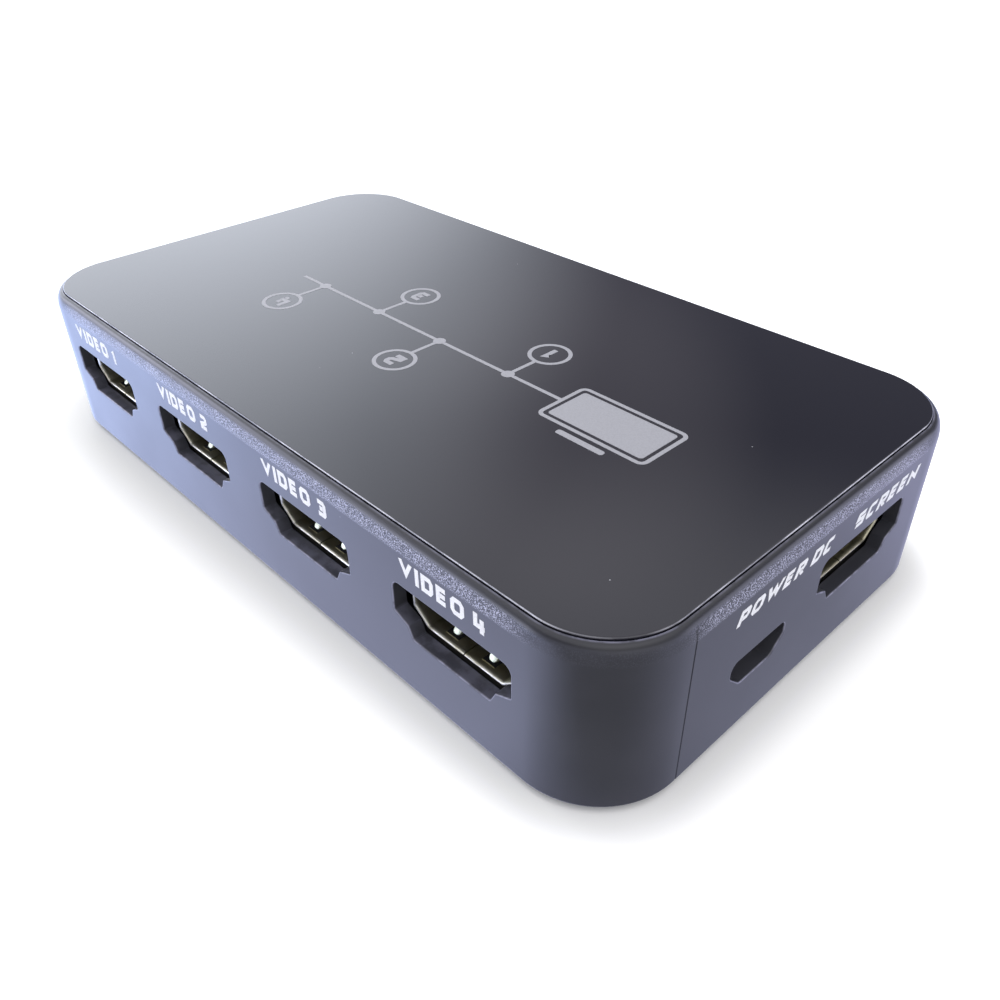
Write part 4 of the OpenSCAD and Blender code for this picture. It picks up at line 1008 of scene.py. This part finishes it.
def case_finish(name, colours):
    """Satin moulded plastic: fine grain, coarser grain along the rim with painted glints on it, painted
    highlights on the edges and painted light on the rear cut-outs' floors.

    The rim's grain and its painted glints fade towards the upright corners, as painted shade there. A
    painted dark reflection runs along the top of the rim.
    """
    rim, base = SHELL_HIGH[2], np.array(colours.case)
    tree, shader = new_material(name)[1:]
    fine = group(tree, grain_group, Scale=5200.0, Detail=2.0)
    coarse = group(tree, grain_group, Scale=8800.0, Detail=2.0)["Height"]
    band = group(tree, band_group, Low=rim - 2.1 * MM, High=rim - 0.75 * MM, Soft=0.35 * MM)["Mask"]
    # Painted dark reflection along the top of the rim
    painted_dark_strip = group(tree, band_group, Low=rim - 0.5 * MM, High=rim + 1.0 * MM, Soft=0.2 * MM)["Mask"]
    specks = group(tree, speck_group, Scale=420.0, Share=0.10, Radius=0.05)["Mask"]
    painted_lit = group(tree, wear_group, Scale=700.0, Least=0.25)["Mask"]
    # Painted shade at the upright corners: the painted glints, and the grain's bumps with them, fade out
    # there
    corner = [
        ramp(tree, maths(tree, "ABSOLUTE", part), high - GRAIN_FADE, high - GRAIN_END)
        for part, high in zip(axes(tree, place_of(tree))[:2], SHELL_HIGH[:2])]
    corner = maths(tree, "MULTIPLY", *corner)
    grainy = maths(tree, "MULTIPLY", band, ramp(tree, corner, 0.0, 1.0, 1.0, 0.03))
    tone = blend(tree, ramp(tree, fine["Tone"], 0.35, 0.65), base * 0.92, base * 1.08)
    # Painted dark reflection: the top of the rim darkened to less than half the case's colour
    tone = blend(tree, painted_dark_strip, tone, base * 0.45)
    # Painted glints: the grain's high points along the rim take a pale colour, as if they caught the light
    glint = maths(tree, "MULTIPLY", ramp(tree, coarse, 0.46, 0.65), grainy)
    tone = blend(tree, maths(tree, "MULTIPLY", glint, 0.9), tone, colours.glint)
    # Painted highlights on the edges of the cut-outs and the rim, and painted light on the rear cut-outs'
    # floors
    tone = blend(tree, maths(tree, "MULTIPLY", painted_lit, 0.8), tone, colours.worn_case)
    dusty = maths(tree, "MULTIPLY", specks, ramp(tree, grainy, 0.0, 1.0, 0.3, 0.8))
    relief = maths(tree, "MULTIPLY", maths(tree, "SUBTRACT", coarse, 0.5), grainy)
    satin = bump(tree, fine["Height"], 0.3, 0.004)
    feed(tree, shader, Base_Color=blend(tree, dusty, tone, colours.dust),
         Roughness=ramp(tree, fine["Tone"], 0.3, 0.7, 0.285, 0.34),
         Normal=bump(tree, relief, 1.0, 0.06, Normal=satin))


def panel_finish(name, colours):
    """Deep gloss with a little dust, a faint waviness, and a painted highlight along the polished edge."""
    tree, shader = new_material(name)[1:]
    specks = group(tree, speck_group, Scale=330.0, Share=0.16, Radius=0.035)["Mask"]
    wave = group(tree, grain_group, Scale=150.0, Detail=1.0)
    painted_lit = group(tree, wear_group, Scale=260.0, Least=0.3)["Mask"]
    # Painted highlight along the polished edge
    tone = blend(tree, painted_lit, colours.panel, colours.worn_panel)
    feed(tree, shader, Base_Color=blend(tree, specks, tone, colours.dust),
         Roughness=ramp(tree, wave["Tone"], 0.3, 0.7, 0.035, 0.06),
         Normal=bump(tree, wave["Height"], 0.4, 0.004))


def moulded_finish(name, colours, tint, roughness, scale, depth, sheen=0.0):
    """Plain moulded surface with grain of a given scale and depth, and slow change of tone."""
    tree, shader = new_material(name)[1:]
    grain = group(tree, grain_group, Scale=scale, Detail=2.0)
    base = np.array(getattr(colours, tint))
    tone = ramp(tree, grain["Tone"], 0.35, 0.65)
    feed(tree, shader, Base_Color=blend(tree, tone, base * 0.88, np.minimum(base * 1.12, 1)),
         Roughness=ramp(tree, grain["Tone"], 0.3, 0.7, roughness * 0.88, roughness * 1.12),
         Normal=bump(tree, grain["Height"], 0.6, depth), Sheen_Weight=sheen)


def plated_finish(name, colours, tint, roughness, bright=None):
    """Plated sheet metal: slight stains, a polish that changes along the drawn sheet, and painted highlights
    on edges and flares.
    """
    tree, shader = new_material(name)[1:]
    drawn = node(tree, "ShaderNodeMapping", {"Vector": place_of(tree), "Scale": (1.0, 1.0, 6.0)}).outputs[0]
    lines = noise(tree, drawn, 1500.0, 2.0)
    stain = ramp(tree, group(tree, grain_group, Scale=2500.0, Detail=2.0)["Tone"], 0.4, 0.7)
    base = np.array(getattr(colours, tint))
    tone = blend(tree, stain, base, base * 0.85)
    if bright:
        # Painted highlights and painted light where the mesh carries them
        painted_lit = group(tree, wear_group, Scale=900.0, Least=0.5)["Mask"]
        tone = blend(tree, painted_lit, tone, getattr(colours, bright))
    feed(tree, shader, Base_Color=tone, Metallic=1.0,
         Roughness=ramp(tree, lines, 0.3, 0.7, roughness * 0.9, roughness * 1.1))


def ink_finish(name, colours, tint):
    """Screen-printed ink, slightly uneven."""
    tree, shader = new_material(name)[1:]
    grain = group(tree, grain_group, Scale=6000.0, Detail=2.0)["Height"]
    base = np.array(getattr(colours, tint))
    feed(tree, shader, Roughness=0.5, Base_Color=blend(tree, ramp(tree, grain, 0.35, 0.6), base * 0.9, base))


def clear_finish(name, colours):
    """Milky clear plastic that spreads the light of the lamps behind it."""
    tree, shader = new_material(name)[1:]
    grain = group(tree, grain_group, Scale=1800.0, Detail=2.0)["Height"]
    feed(tree, shader, Base_Color=rgba(colours.clear), IOR=1.49, Transmission_Weight=0.65,
         Roughness=ramp(tree, grain, 0.3, 0.7, 0.16, 0.3))


def window_finish(name, colours):
    """Dark glossy window that only the remote's light passes."""
    tree, shader = new_material(name)[1:]
    specks = group(tree, speck_group, Scale=700.0, Share=0.12, Radius=0.05)["Mask"]
    feed(tree, shader, Roughness=0.07, IOR=1.38,
         Base_Color=blend(tree, specks, colours.window, colours.window_dust))


def board_finish(name, colours):
    """Solder mask over a pattern of tracks, with bare laminate on the cut edges."""
    tree, shader = new_material(name)[1:]
    cells = node(tree, "ShaderNodeTexVoronoi", {"Vector": place_of(tree), "Scale": 420.0},
                 distance="CHEBYCHEV", feature="F2")
    track = ramp(tree, cells.outputs["Distance"], 0.52, 0.56)
    # Nearly black mask: partly painted shade where the board shows through the cut-outs
    base = np.array(colours.board)
    facing = node(tree, "ShaderNodeTexCoord").outputs["Normal"]
    upright = maths(tree, "ABSOLUTE", axes(tree, facing)[2])
    tone = blend(tree, track, base, base * 1.9)
    feed(tree, shader, Base_Color=blend(tree, ramp(tree, upright, 0.4, 0.6), colours.laminate, tone),
         Roughness=0.28, Normal=bump(tree, track, 0.7, 0.02))


# Finish of each slot: its function and what the function takes, from the name of its colour on
FINISHES = {
    "case_plastic": (case_finish,),
    "panel_gloss": (panel_finish,),
    "tape_film": (moulded_finish, "tape", 0.6, 1500.0, 0.01),
    "foot_rubber": (moulded_finish, "rubber", 0.75, 2600.0, 0.03, 0.2),
    "screw_steel": (plated_finish, "screw", 0.3),
    "board_mask": (board_finish,),
    "socket_metal": (plated_finish, "sleeve", 0.42, "worn_metal"),
    "socket_black": (moulded_finish, "insulator", 0.42, 3500.0, 0.01),
    "contact_gold": (plated_finish, "gold", 0.2),
    "button_plastic": (moulded_finish, "button", 0.32, 5000.0, 0.006),
    "clear_plastic": (clear_finish,),
    "lamp_white": (moulded_finish, "lamp", 0.35, 2500.0, 0.005),
    "window_dark": (window_finish,),
    "chip_black": (moulded_finish, "chip", 0.55, 5200.0, 0.012),
    "lead_tin": (plated_finish, "lead", 0.32),
    "can_aluminium": (plated_finish, "can", 0.28),
    "choke_grey": (moulded_finish, "choke", 0.6, 3200.0, 0.02),
    "ceramic_tan": (moulded_finish, "ceramic", 0.4, 3000.0, 0.006),
    "wall_ink": (ink_finish, "ink"),
    "panel_ink": (ink_finish, "panel_ink"),
    "spring": (plated_finish, "spring", 0.5, "spring"),
}


def finish(slot):
    """The finish of a slot, made the first time that it is asked for."""
    name = "finish " + slot
    if name not in bpy.data.materials:
        make, *values = FINISHES[slot]
        make(name, bpy.context.scene.switch_box.colours, *values)
    return bpy.data.materials[name]


# Operators

class SWITCHBOX_OT_case(bpy.types.Operator):
    """Build the moulded case with its cut-outs"""

    bl_idname = "switchbox.case"
    bl_label = "Moulded Case"

    def execute(self, context):
        """Replaces the shell's node by a skin with rounded edges."""
        case_skin(context.scene.switch_box).piece("case_shell", "case_plastic", ["upper_shell"])
        return {"FINISHED"}


class SWITCHBOX_OT_panel(bpy.types.Operator):
    """Build the glossy panel with its polished edge"""

    bl_idname = "switchbox.panel"
    bl_label = "Glossy Panel"

    def execute(self, context):
        """Replaces the panel's node by a plate with a rounded edge."""
        case = context.scene.switch_box.case
        outline, normals = case_columns(case)[:2]
        inset = SHELL_HIGH[0] - PANEL_HIGH[0]
        edge, low, high = case.panel_edge, PANEL_LOW[2], PANEL_HIGH[2]
        profile = np.vstack([
            [[inset, low], [inset, high - edge - SUPPORT]],
            arc((inset + edge, high - edge), edge, 180, 90, 6), [[inset + edge + SUPPORT, high]]])
        # Painted highlight along the panel's polished edge, dimmer at the corners
        painted_lit = np.zeros((len(outline), len(profile)))
        painted_lit[:, 2:7] = np.array([0.2, 0.7, 1.0, 0.7, 0.2]) * straightness(normals, 0.3, 1.0)
        skin = Skin()
        skin.solid(sweep(outline, normals, profile), painted_lit)
        skin.piece("gloss_panel", "panel_gloss", ["top_panel"])
        return {"FINISHED"}


class SWITCHBOX_OT_panel_print(bpy.types.Operator):
    """Print the panel's diagram: four numbered rings on a line that leads to a screen"""

    bl_idname = "switchbox.panel_print"
    bl_label = "Panel Print"

    def execute(self, context):
        """Lays the diagram on the panel, with its numbers upright as seen from the front."""
        sizes = context.scene.switch_box.print
        high, line, ring, level = PANEL_HIGH[2], sizes.line, sizes.ring, sizes.diagram_level
        low, top = high - INK_SINK, high + sizes.ink
        flat = [[0, low], [0, top]]
        band = [[0, low], [0, top], [line, top], [line, low]]
        skin = Skin()
        screen = np.array([sizes.display_place, level])
        skin.grid(sweep(*box_outline(screen, *DISPLAY), band), loop_u=True, loop_v=True)
        skin.solid(sweep(*box_outline(screen, *PICTURE), flat))
        skin.solid(sweep(*box_outline(screen - [0, STAND_SET], *STAND), flat))
        trunk = [[sizes.diagram_end, level], screen - [DISPLAY[0] / 2, 0]]
        add_ribbon(skin, stroke(trunk, line), low, top, np.asarray)
        for number in range(1, 5):
            away = 1 if number % 2 else -1
            along = sizes.ring_first - sizes.ring_pitch * (number - 1)
            place = np.array([along, level + away * sizes.ring_reach])
            skin.grid(sweep(*circle(place, ring), band), loop_u=True, loop_v=True)
            stub = np.array([place - [0, away * ring], [along, level + away * line / 2]])
            add_ribbon(skin, stroke(stub, line), low, top, np.asarray)
            dot = circle((along, level), sizes.dot, 32)
            skin.solid(sweep(*dot, [[0, low], [0, top + DOT_RISE]]))
            wide = GLYPHS[str(number)][0] * sizes.number_width
            add_words(skin, str(number), sizes.number_height, wide, sizes.ink,
                      lambda points: points * [-1, -1, 1] + [*place, high])
        skin.piece("panel_print", look="panel_ink")
        return {"FINISHED"}


class SWITCHBOX_OT_labels(bpy.types.Operator):
    """Print plain labels on the walls"""

    bl_idname = "switchbox.labels"
    bl_label = "Wall Labels"

    def execute(self, context):
        """Prints the inputs' numbers, the side's words and the lamps' numbers."""
        settings = context.scene.switch_box
        sizes = settings.print
        skin = Skin()
        for number in range(1, 5):
            across = middle_of(f"input_{number}_shell", REAR) + sizes.rear_shift
            self.label(skin, REAR, f"VIDEO {number}", (across, sizes.rear_level), sizes.rear_height,
                       sizes.rear_width)
        for words, socket, shift, width in (
                ("SCREEN", "output_shell", sizes.screen_shift, sizes.screen_width),
                ("POWER DC", "power_inlet_shell", sizes.power_shift, sizes.power_width)):
            across = middle_of(socket, RIGHT) + shift
            self.label(skin, RIGHT, words, (across, sizes.side_level), sizes.side_height, width, SIDE_SLANT)
        for number, across in enumerate(pin_places(settings.controls)[1:], 1):
            width = GLYPHS[str(number)][0] * sizes.front_height
            self.label(skin, FRONT, str(number), (across, sizes.front_level), sizes.front_height, width)
        skin.piece("wall_print", look="wall_ink")
        return {"FINISHED"}

    def label(self, skin, side, words, place, height, width, slant=0.0):
        """Adds a label on a wall about a place."""
        ink = bpy.context.scene.switch_box.print.ink
        add_words(skin, words, height, width, ink, lambda points: on_wall(
            side, place[0] + points[..., 0], place[1] + points[..., 1], points[..., 2]), slant)


class SWITCHBOX_OT_sockets(bpy.types.Operator):
    """Build the folded metal sleeves of the sockets"""

    bl_idname = "switchbox.sockets"
    bl_label = "Socket Sleeves"

    def execute(self, context):
        """Replaces each sleeve's node, and adds the bright bumps of its springs."""
        ports = context.scene.switch_box.ports
        floor = BOARD_TOP + ports.sleeve_sheet
        bent = leaning_outline(ports.sleeve_width, ports.sleeve_height, ports.sleeve_floor,
                               ports.sleeve_lean, ports.sleeve_bend, floor)
        slots = Skin()
        for socket, side in SOCKETS.items():
            across = middle_of(socket + "_shell", side)
            skin, bumps = Skin(), Skin()
            add_sleeve(skin, side, across, *bent, ports.sleeve_sheet, ports.sleeve_depth, ports.mouth,
                       ports.sleeve_seam, ports.sleeve_flare)
            add_legs(skin, side, across, ports)
            add_springs(skin, slots, bumps, side, across, ports, floor)
            skin.piece(socket + "_sleeve", "socket_metal", [socket + "_shell"])
            bumps.piece(socket + "_springs", "socket_metal", look="spring")
        # Dark plates that stand for the open slots in the sleeves' floors: painted shade
        slots.piece("spring_slots", "socket_black")
        self.inlet(ports)
        return {"FINISHED"}

    def inlet(self, ports):
        """Replaces the power inlet's sleeve, with the tabs that hold it to the board."""
        across = middle_of("power_inlet_shell", RIGHT)
        sheet = ports.inlet_sheet
        bent = leaning_outline(ports.inlet_width, ports.inlet_height, ports.inlet_floor,
                               ports.inlet_lean, ports.inlet_bend, BOARD_TOP - ports.inlet_drop)
        skin = Skin()
        add_sleeve(skin, RIGHT, across, *bent, sheet, ports.inlet_depth, ports.mouth, ports.inlet_seam,
                   ports.inlet_flare)
        for left in (-1, 1):
            centre = (left * (ports.inlet_width / 2 + sheet + TAB_SET), ports.mouth + TAB_DEPTH)
            add_block(skin, RIGHT, across, centre, TAB_WIDTH, TAB_LENGTH, BOARD_TOP, BOARD_TOP + sheet,
                      SHEET_EDGE)
        skin.piece("power_inlet_sleeve", "socket_metal", ["power_inlet_shell"])


class SWITCHBOX_OT_controls(bpy.types.Operator):
    """Build the button, the remote's window and the light pins on the front"""

    bl_idname = "switchbox.controls"
    bl_label = "Front Controls"

    def execute(self, context):
        """Replaces the front's nodes by turned pieces."""
        controls = context.scene.switch_box.controls
        level = front_level()
        self.button(controls, level)
        self.window(controls, level)
        self.pins(controls, level)
        return {"FINISHED"}

    def place(self, skin, across, level, points):
        """Adds a turned piece whose axis points out of the front wall."""
        across, height, out = np.moveaxis(points + [across, level, 0], -1, 0)
        skin.grid(on_wall(FRONT, across, height, out), loop_u=True)

    def button(self, controls, level):
        """Button with a rounded edge and a dished face, on its flange and stem."""
        low, high = node_box("select_button")
        radius, edge = controls.button_diameter / 2, controls.button_round
        face, back = high[1] - FACE[FRONT], low[1] - FACE[FRONT]
        stem = controls.stem_diameter / 2
        ledge = back + controls.stem_length
        flange = (high[0] - low[0]) / 2
        reach = radius - edge
        share = np.linspace(1, 0, 12)
        dish = np.stack([reach * share, face - controls.button_dish * (1 - share ** 2)], axis=1)
        profile = np.vstack([
            [[0, back], [stem, back], [stem, ledge], [flange, ledge], [flange, ledge + controls.flange],
             [radius, ledge + controls.flange], [radius, face - edge - SUPPORT]],
            arc((reach, face - edge), edge, 0, 90, 8), dish[1:]])
        skin = Skin()
        self.place(skin, middle_of("select_button", FRONT), level, turned(profile, 72))
        skin.piece("button_cap", "button_plastic", ["select_button"], body="button")

    def window(self, controls, level):
        """Window with a slightly domed face, behind its flange."""
        low, high = node_box("ir_window")
        radius = controls.window_diameter / 2
        back = low[1] - FACE[FRONT]
        flange = (high[0] - low[0]) / 2
        ledge = back + controls.window_flange
        face = dome(radius, controls.window_dome, 0, 14)
        profile = np.vstack([[[0, back], [flange, back], [flange, ledge], [radius, ledge]], face])
        skin = Skin()
        self.place(skin, middle_of("ir_window", FRONT), level, turned(profile, 72))
        skin.piece("remote_window", "window_dark", ["ir_window"])

    def pins(self, controls, level):
        """Bar behind the wall, with five pins that end in low domes."""
        low, high = node_box("light_pipe")
        radius = controls.pin_diameter / 2
        front = low[1] + controls.bar
        skin = Skin()
        middle = np.array([low[0] + high[0], low[1] + front]) / 2
        edge = controls.bar_edge
        outline = box_outline(middle, high[0] - low[0], controls.bar, edge)
        profile = [[edge, low[2]], [0, low[2] + edge], [0, high[2] - edge], [edge, high[2]]]
        skin.solid(sweep(*outline, profile))
        start = front - LAP - FACE[FRONT]
        end = dome(radius, controls.pin_dome, 0, 10)
        pin = turned(np.vstack([[[0, start], [radius, start]], end]), 40)
        for across in pin_places(controls):
            self.place(skin, across, level, pin)
        skin.piece("light_pins", "clear_plastic", ["light_pipe"])


class SWITCHBOX_OT_underside(bpy.types.Operator):
    """Build the rubber feet"""

    bl_idname = "switchbox.underside"
    bl_label = "Rubber Feet"

    def execute(self, context):
        """Replaces the feet's node by turned feet with a rounded lower edge."""
        controls = context.scene.switch_box.controls
        low, high = node_box("rubber_feet")
        radius, edge = controls.foot_diameter / 2, controls.foot_round
        reach = radius - edge
        share = np.linspace(0, 1, 6)
        sole = np.stack([reach * share, low[2] + controls.foot_hollow * (1 - share ** 3)], axis=1)
        profile = np.vstack([
            sole[:-1], arc((reach, low[2] + edge), edge, 270, 360, 8), [[radius, high[2]], [0, high[2]]]])
        skin = Skin()
        for corner in QUARTERS * (high[:2] - radius):
            skin.grid(turned(profile, 56) + [*corner, 0], loop_u=True)
        skin.piece("rubber_pads", "foot_rubber", ["rubber_feet"])
        return {"FINISHED"}


class SWITCHBOX_OT_finishes(bpy.types.Operator):
    """Give every CAD node its finish"""

    bl_idname = "switchbox.finishes"
    bl_label = "CAD Finishes"

    def execute(self, context):
        """Puts the finish of its record slot on each node."""
        for part in frame["record"]["subparts"]:
            for holder in frame["nodes"][part["node"]].material_slots:
                holder.material = finish(part["material_slot"])
        return {"FINISHED"}


class SWITCHBOX_OT_stage(bpy.types.Operator):
    """Set the floor, the light and the camera"""

    bl_idname = "switchbox.stage"
    bl_label = "Stage"

    def execute(self, context):
        """Adds a pale floor, a sky of soft lights and the camera."""
        stage = context.scene.switch_box.stage
        self.floor(stage)
        self.sky(context.scene, stage)
        self.camera(context.scene, stage)
        return {"FINISHED"}

    def floor(self, stage):
        """Wide plain floor that keeps the shadow.

        To the camera it is paler, most of all away from the box, so that beside the box it carries a painted
        shade on top of the real shadow. In gloss it glows, most of all to the left.
        """
        material, tree, shader = new_material("Floor")
        feed(tree, shader, Base_Color=rgba(stage.floor), Roughness=0.9, Specular_IOR_Level=0.0)
        place = place_of(tree)
        x, y = axes(tree, place)[:2]
        # Painted shade: to the camera the floor is darker beside the box than away from it, on top of the
        # real shadow
        reach = ramp(tree, x, SHELL_HIGH[0], SHELL_LOW[0], stage.shade_near, stage.shade_far)
        lift = ramp(tree, self.away(tree, place), SHADE_START, reach, stage.lift_near, stage.lift_far)
        pale = vector(tree, "SCALE", tuple(stage.floor), Scale=lift)
        seen = node(tree, "ShaderNodeBsdfDiffuse", {"Color": pale})
        glow = blend(tree, ramp(tree, x, *GLOW_LONG), stage.glow_near, stage.glow_far)
        right = blend(tree, ramp(tree, y, *GLOW_CORNER), stage.glow_corner, stage.glow_right)
        right = blend(tree, ramp(tree, y, *GLOW_BACK), right, stage.glow_back)
        glow = blend(tree, ramp(tree, x, *GLOW_RIGHT), right, glow)
        gloss = node(tree, "ShaderNodeEmission", {"Color": glow, "Strength": stage.glow})
        path = node(tree, "ShaderNodeLightPath").outputs
        mix = shader
        for kind, look in (("Is Camera Ray", seen), ("Is Glossy Ray", gloss)):
            mix = node(tree, "ShaderNodeMixShader", {0: path[kind], 1: mix.outputs[0], 2: look.outputs[0]})
        tree.links.new(mix.outputs[0], tree.nodes["Material Output"].inputs["Surface"])
        mesh = bpy.data.meshes.new("floor")
        corners = [(*corner, 0) for corner in (QUARTERS * FLOOR_REACH).tolist()]
        mesh.from_pydata(corners, [], [(0, 1, 2, 3)])
        mesh.materials.append(material)
        floor = bpy.data.objects.new("floor", mesh)
        bpy.context.scene.collection.objects.link(floor)

    def away(self, tree, place):
        """Distance of a place on the floor from the case's outline."""
        radius = bpy.context.scene.switch_box.case.corner_radius
        straight = (*(SHELL_HIGH[:2] - radius), 0)
        past = vector(tree, "SUBTRACT", vector(tree, "ABSOLUTE", place), straight)
        past = vector(tree, "LENGTH", vector(tree, "MAXIMUM", past, (0, 0, 0)))
        return maths(tree, "SUBTRACT", past, radius)

    def sky(self, scene, stage):
        """Sky of soft round lights: each is full inside one angle from its axis and gone at another.

        The lights for gloss show only in reflections.
        """
        world = bpy.data.worlds.new("Studio")
        world.use_nodes = True
        scene.world = world
        tree = world.node_tree
        tree.nodes.clear()
        ray = node(tree, "ShaderNodeTexCoord").outputs["Generated"]
        path = node(tree, "ShaderNodeLightPath").outputs
        total = (stage.sky, stage.sky, stage.sky * SKY_BLUE)
        for index, (axis, inner, outer, strength) in enumerate(SKY_LIGHTS + GLOSS_LIGHTS):
            near = vector(tree, "DOT_PRODUCT", ray, Vector(axis).normalized())
            faint, full = np.cos(np.radians([outer, inner])).tolist()
            share = ramp(tree, near, faint, full)
            if index >= len(SKY_LIGHTS):
                share = maths(tree, "MULTIPLY", share, path["Is Glossy Ray"])
            total = blend(tree, share, total, strength, blend_type="ADD", clamp_factor=True)
        light = node(tree, "ShaderNodeBackground", {"Color": total, "Strength": 1.0})
        white = node(tree, "ShaderNodeBackground", {"Color": (1, 1, 1, 1), "Strength": 1.0})
        mix = node(tree, "ShaderNodeMixShader", {
            0: path["Is Camera Ray"], 1: light.outputs[0], 2: white.outputs[0]})
        output = node(tree, "ShaderNodeOutputWorld", {"Surface": mix.outputs[0]})
        output.is_active_output = True

    def camera(self, scene, stage):
        """Camera at the photographer's place."""
        data = bpy.data.cameras.new("Camera")
        data.lens = stage.lens
        data.sensor_width = SENSOR_WIDTH
        data.clip_start = MM
        camera = bpy.data.objects.new("Camera", data)
        scene.collection.objects.link(camera)
        view = (Vector(stage.target) - Vector(stage.eye)).to_track_quat("-Z", "Y")
        camera.rotation_mode = "QUATERNION"
        camera.rotation_quaternion = view @ Quaternion((0, 0, 1), stage.roll)
        camera.location = stage.eye
        scene.camera = camera
        scene.view_settings.view_transform = "Standard"


OPERATORS = [
    SWITCHBOX_OT_case, SWITCHBOX_OT_panel, SWITCHBOX_OT_panel_print, SWITCHBOX_OT_labels,
    SWITCHBOX_OT_sockets, SWITCHBOX_OT_controls, SWITCHBOX_OT_underside, SWITCHBOX_OT_finishes,
    SWITCHBOX_OT_stage,
]


class SWITCHBOX_PT_panel(bpy.types.Panel):
    """Sidebar panel that lists the build steps"""

    bl_idname = "SWITCHBOX_PT_panel"
    bl_label = "Switch Box"
    bl_space_type = "VIEW_3D"
    bl_region_type = "UI"
    bl_category = "Switch Box"

    def draw(self, context):
        """Lists the operators in the order in which they run."""
        for step in OPERATORS:
            self.layout.operator(step.bl_idname)


CLASSES = [
    SwitchBoxCase, SwitchBoxPorts, SwitchBoxControls, SwitchBoxPrint, SwitchBoxColours, SwitchBoxStage,
    SwitchBoxSettings, *OPERATORS, SWITCHBOX_PT_panel,
]


def register():
    """Registers the classes and hangs the settings on the scene."""
    for cls in CLASSES:
        bpy.utils.register_class(cls)
    bpy.types.Scene.switch_box = bpy.props.PointerProperty(type=SwitchBoxSettings)


def unregister():
    """Takes the settings and the classes away again."""
    del bpy.types.Scene.switch_box
    for cls in reversed(CLASSES):
        bpy.utils.unregister_class(cls)


def main():
    """Registers the add-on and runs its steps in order."""
    register()
    bpy.ops.switchbox.case()
    bpy.ops.switchbox.panel()
    bpy.ops.switchbox.panel_print()
    bpy.ops.switchbox.labels()
    bpy.ops.switchbox.sockets()
    bpy.ops.switchbox.controls()
    bpy.ops.switchbox.underside()
    bpy.ops.switchbox.finishes()
    bpy.ops.switchbox.stage()


if __name__ == "__main__":
    main()
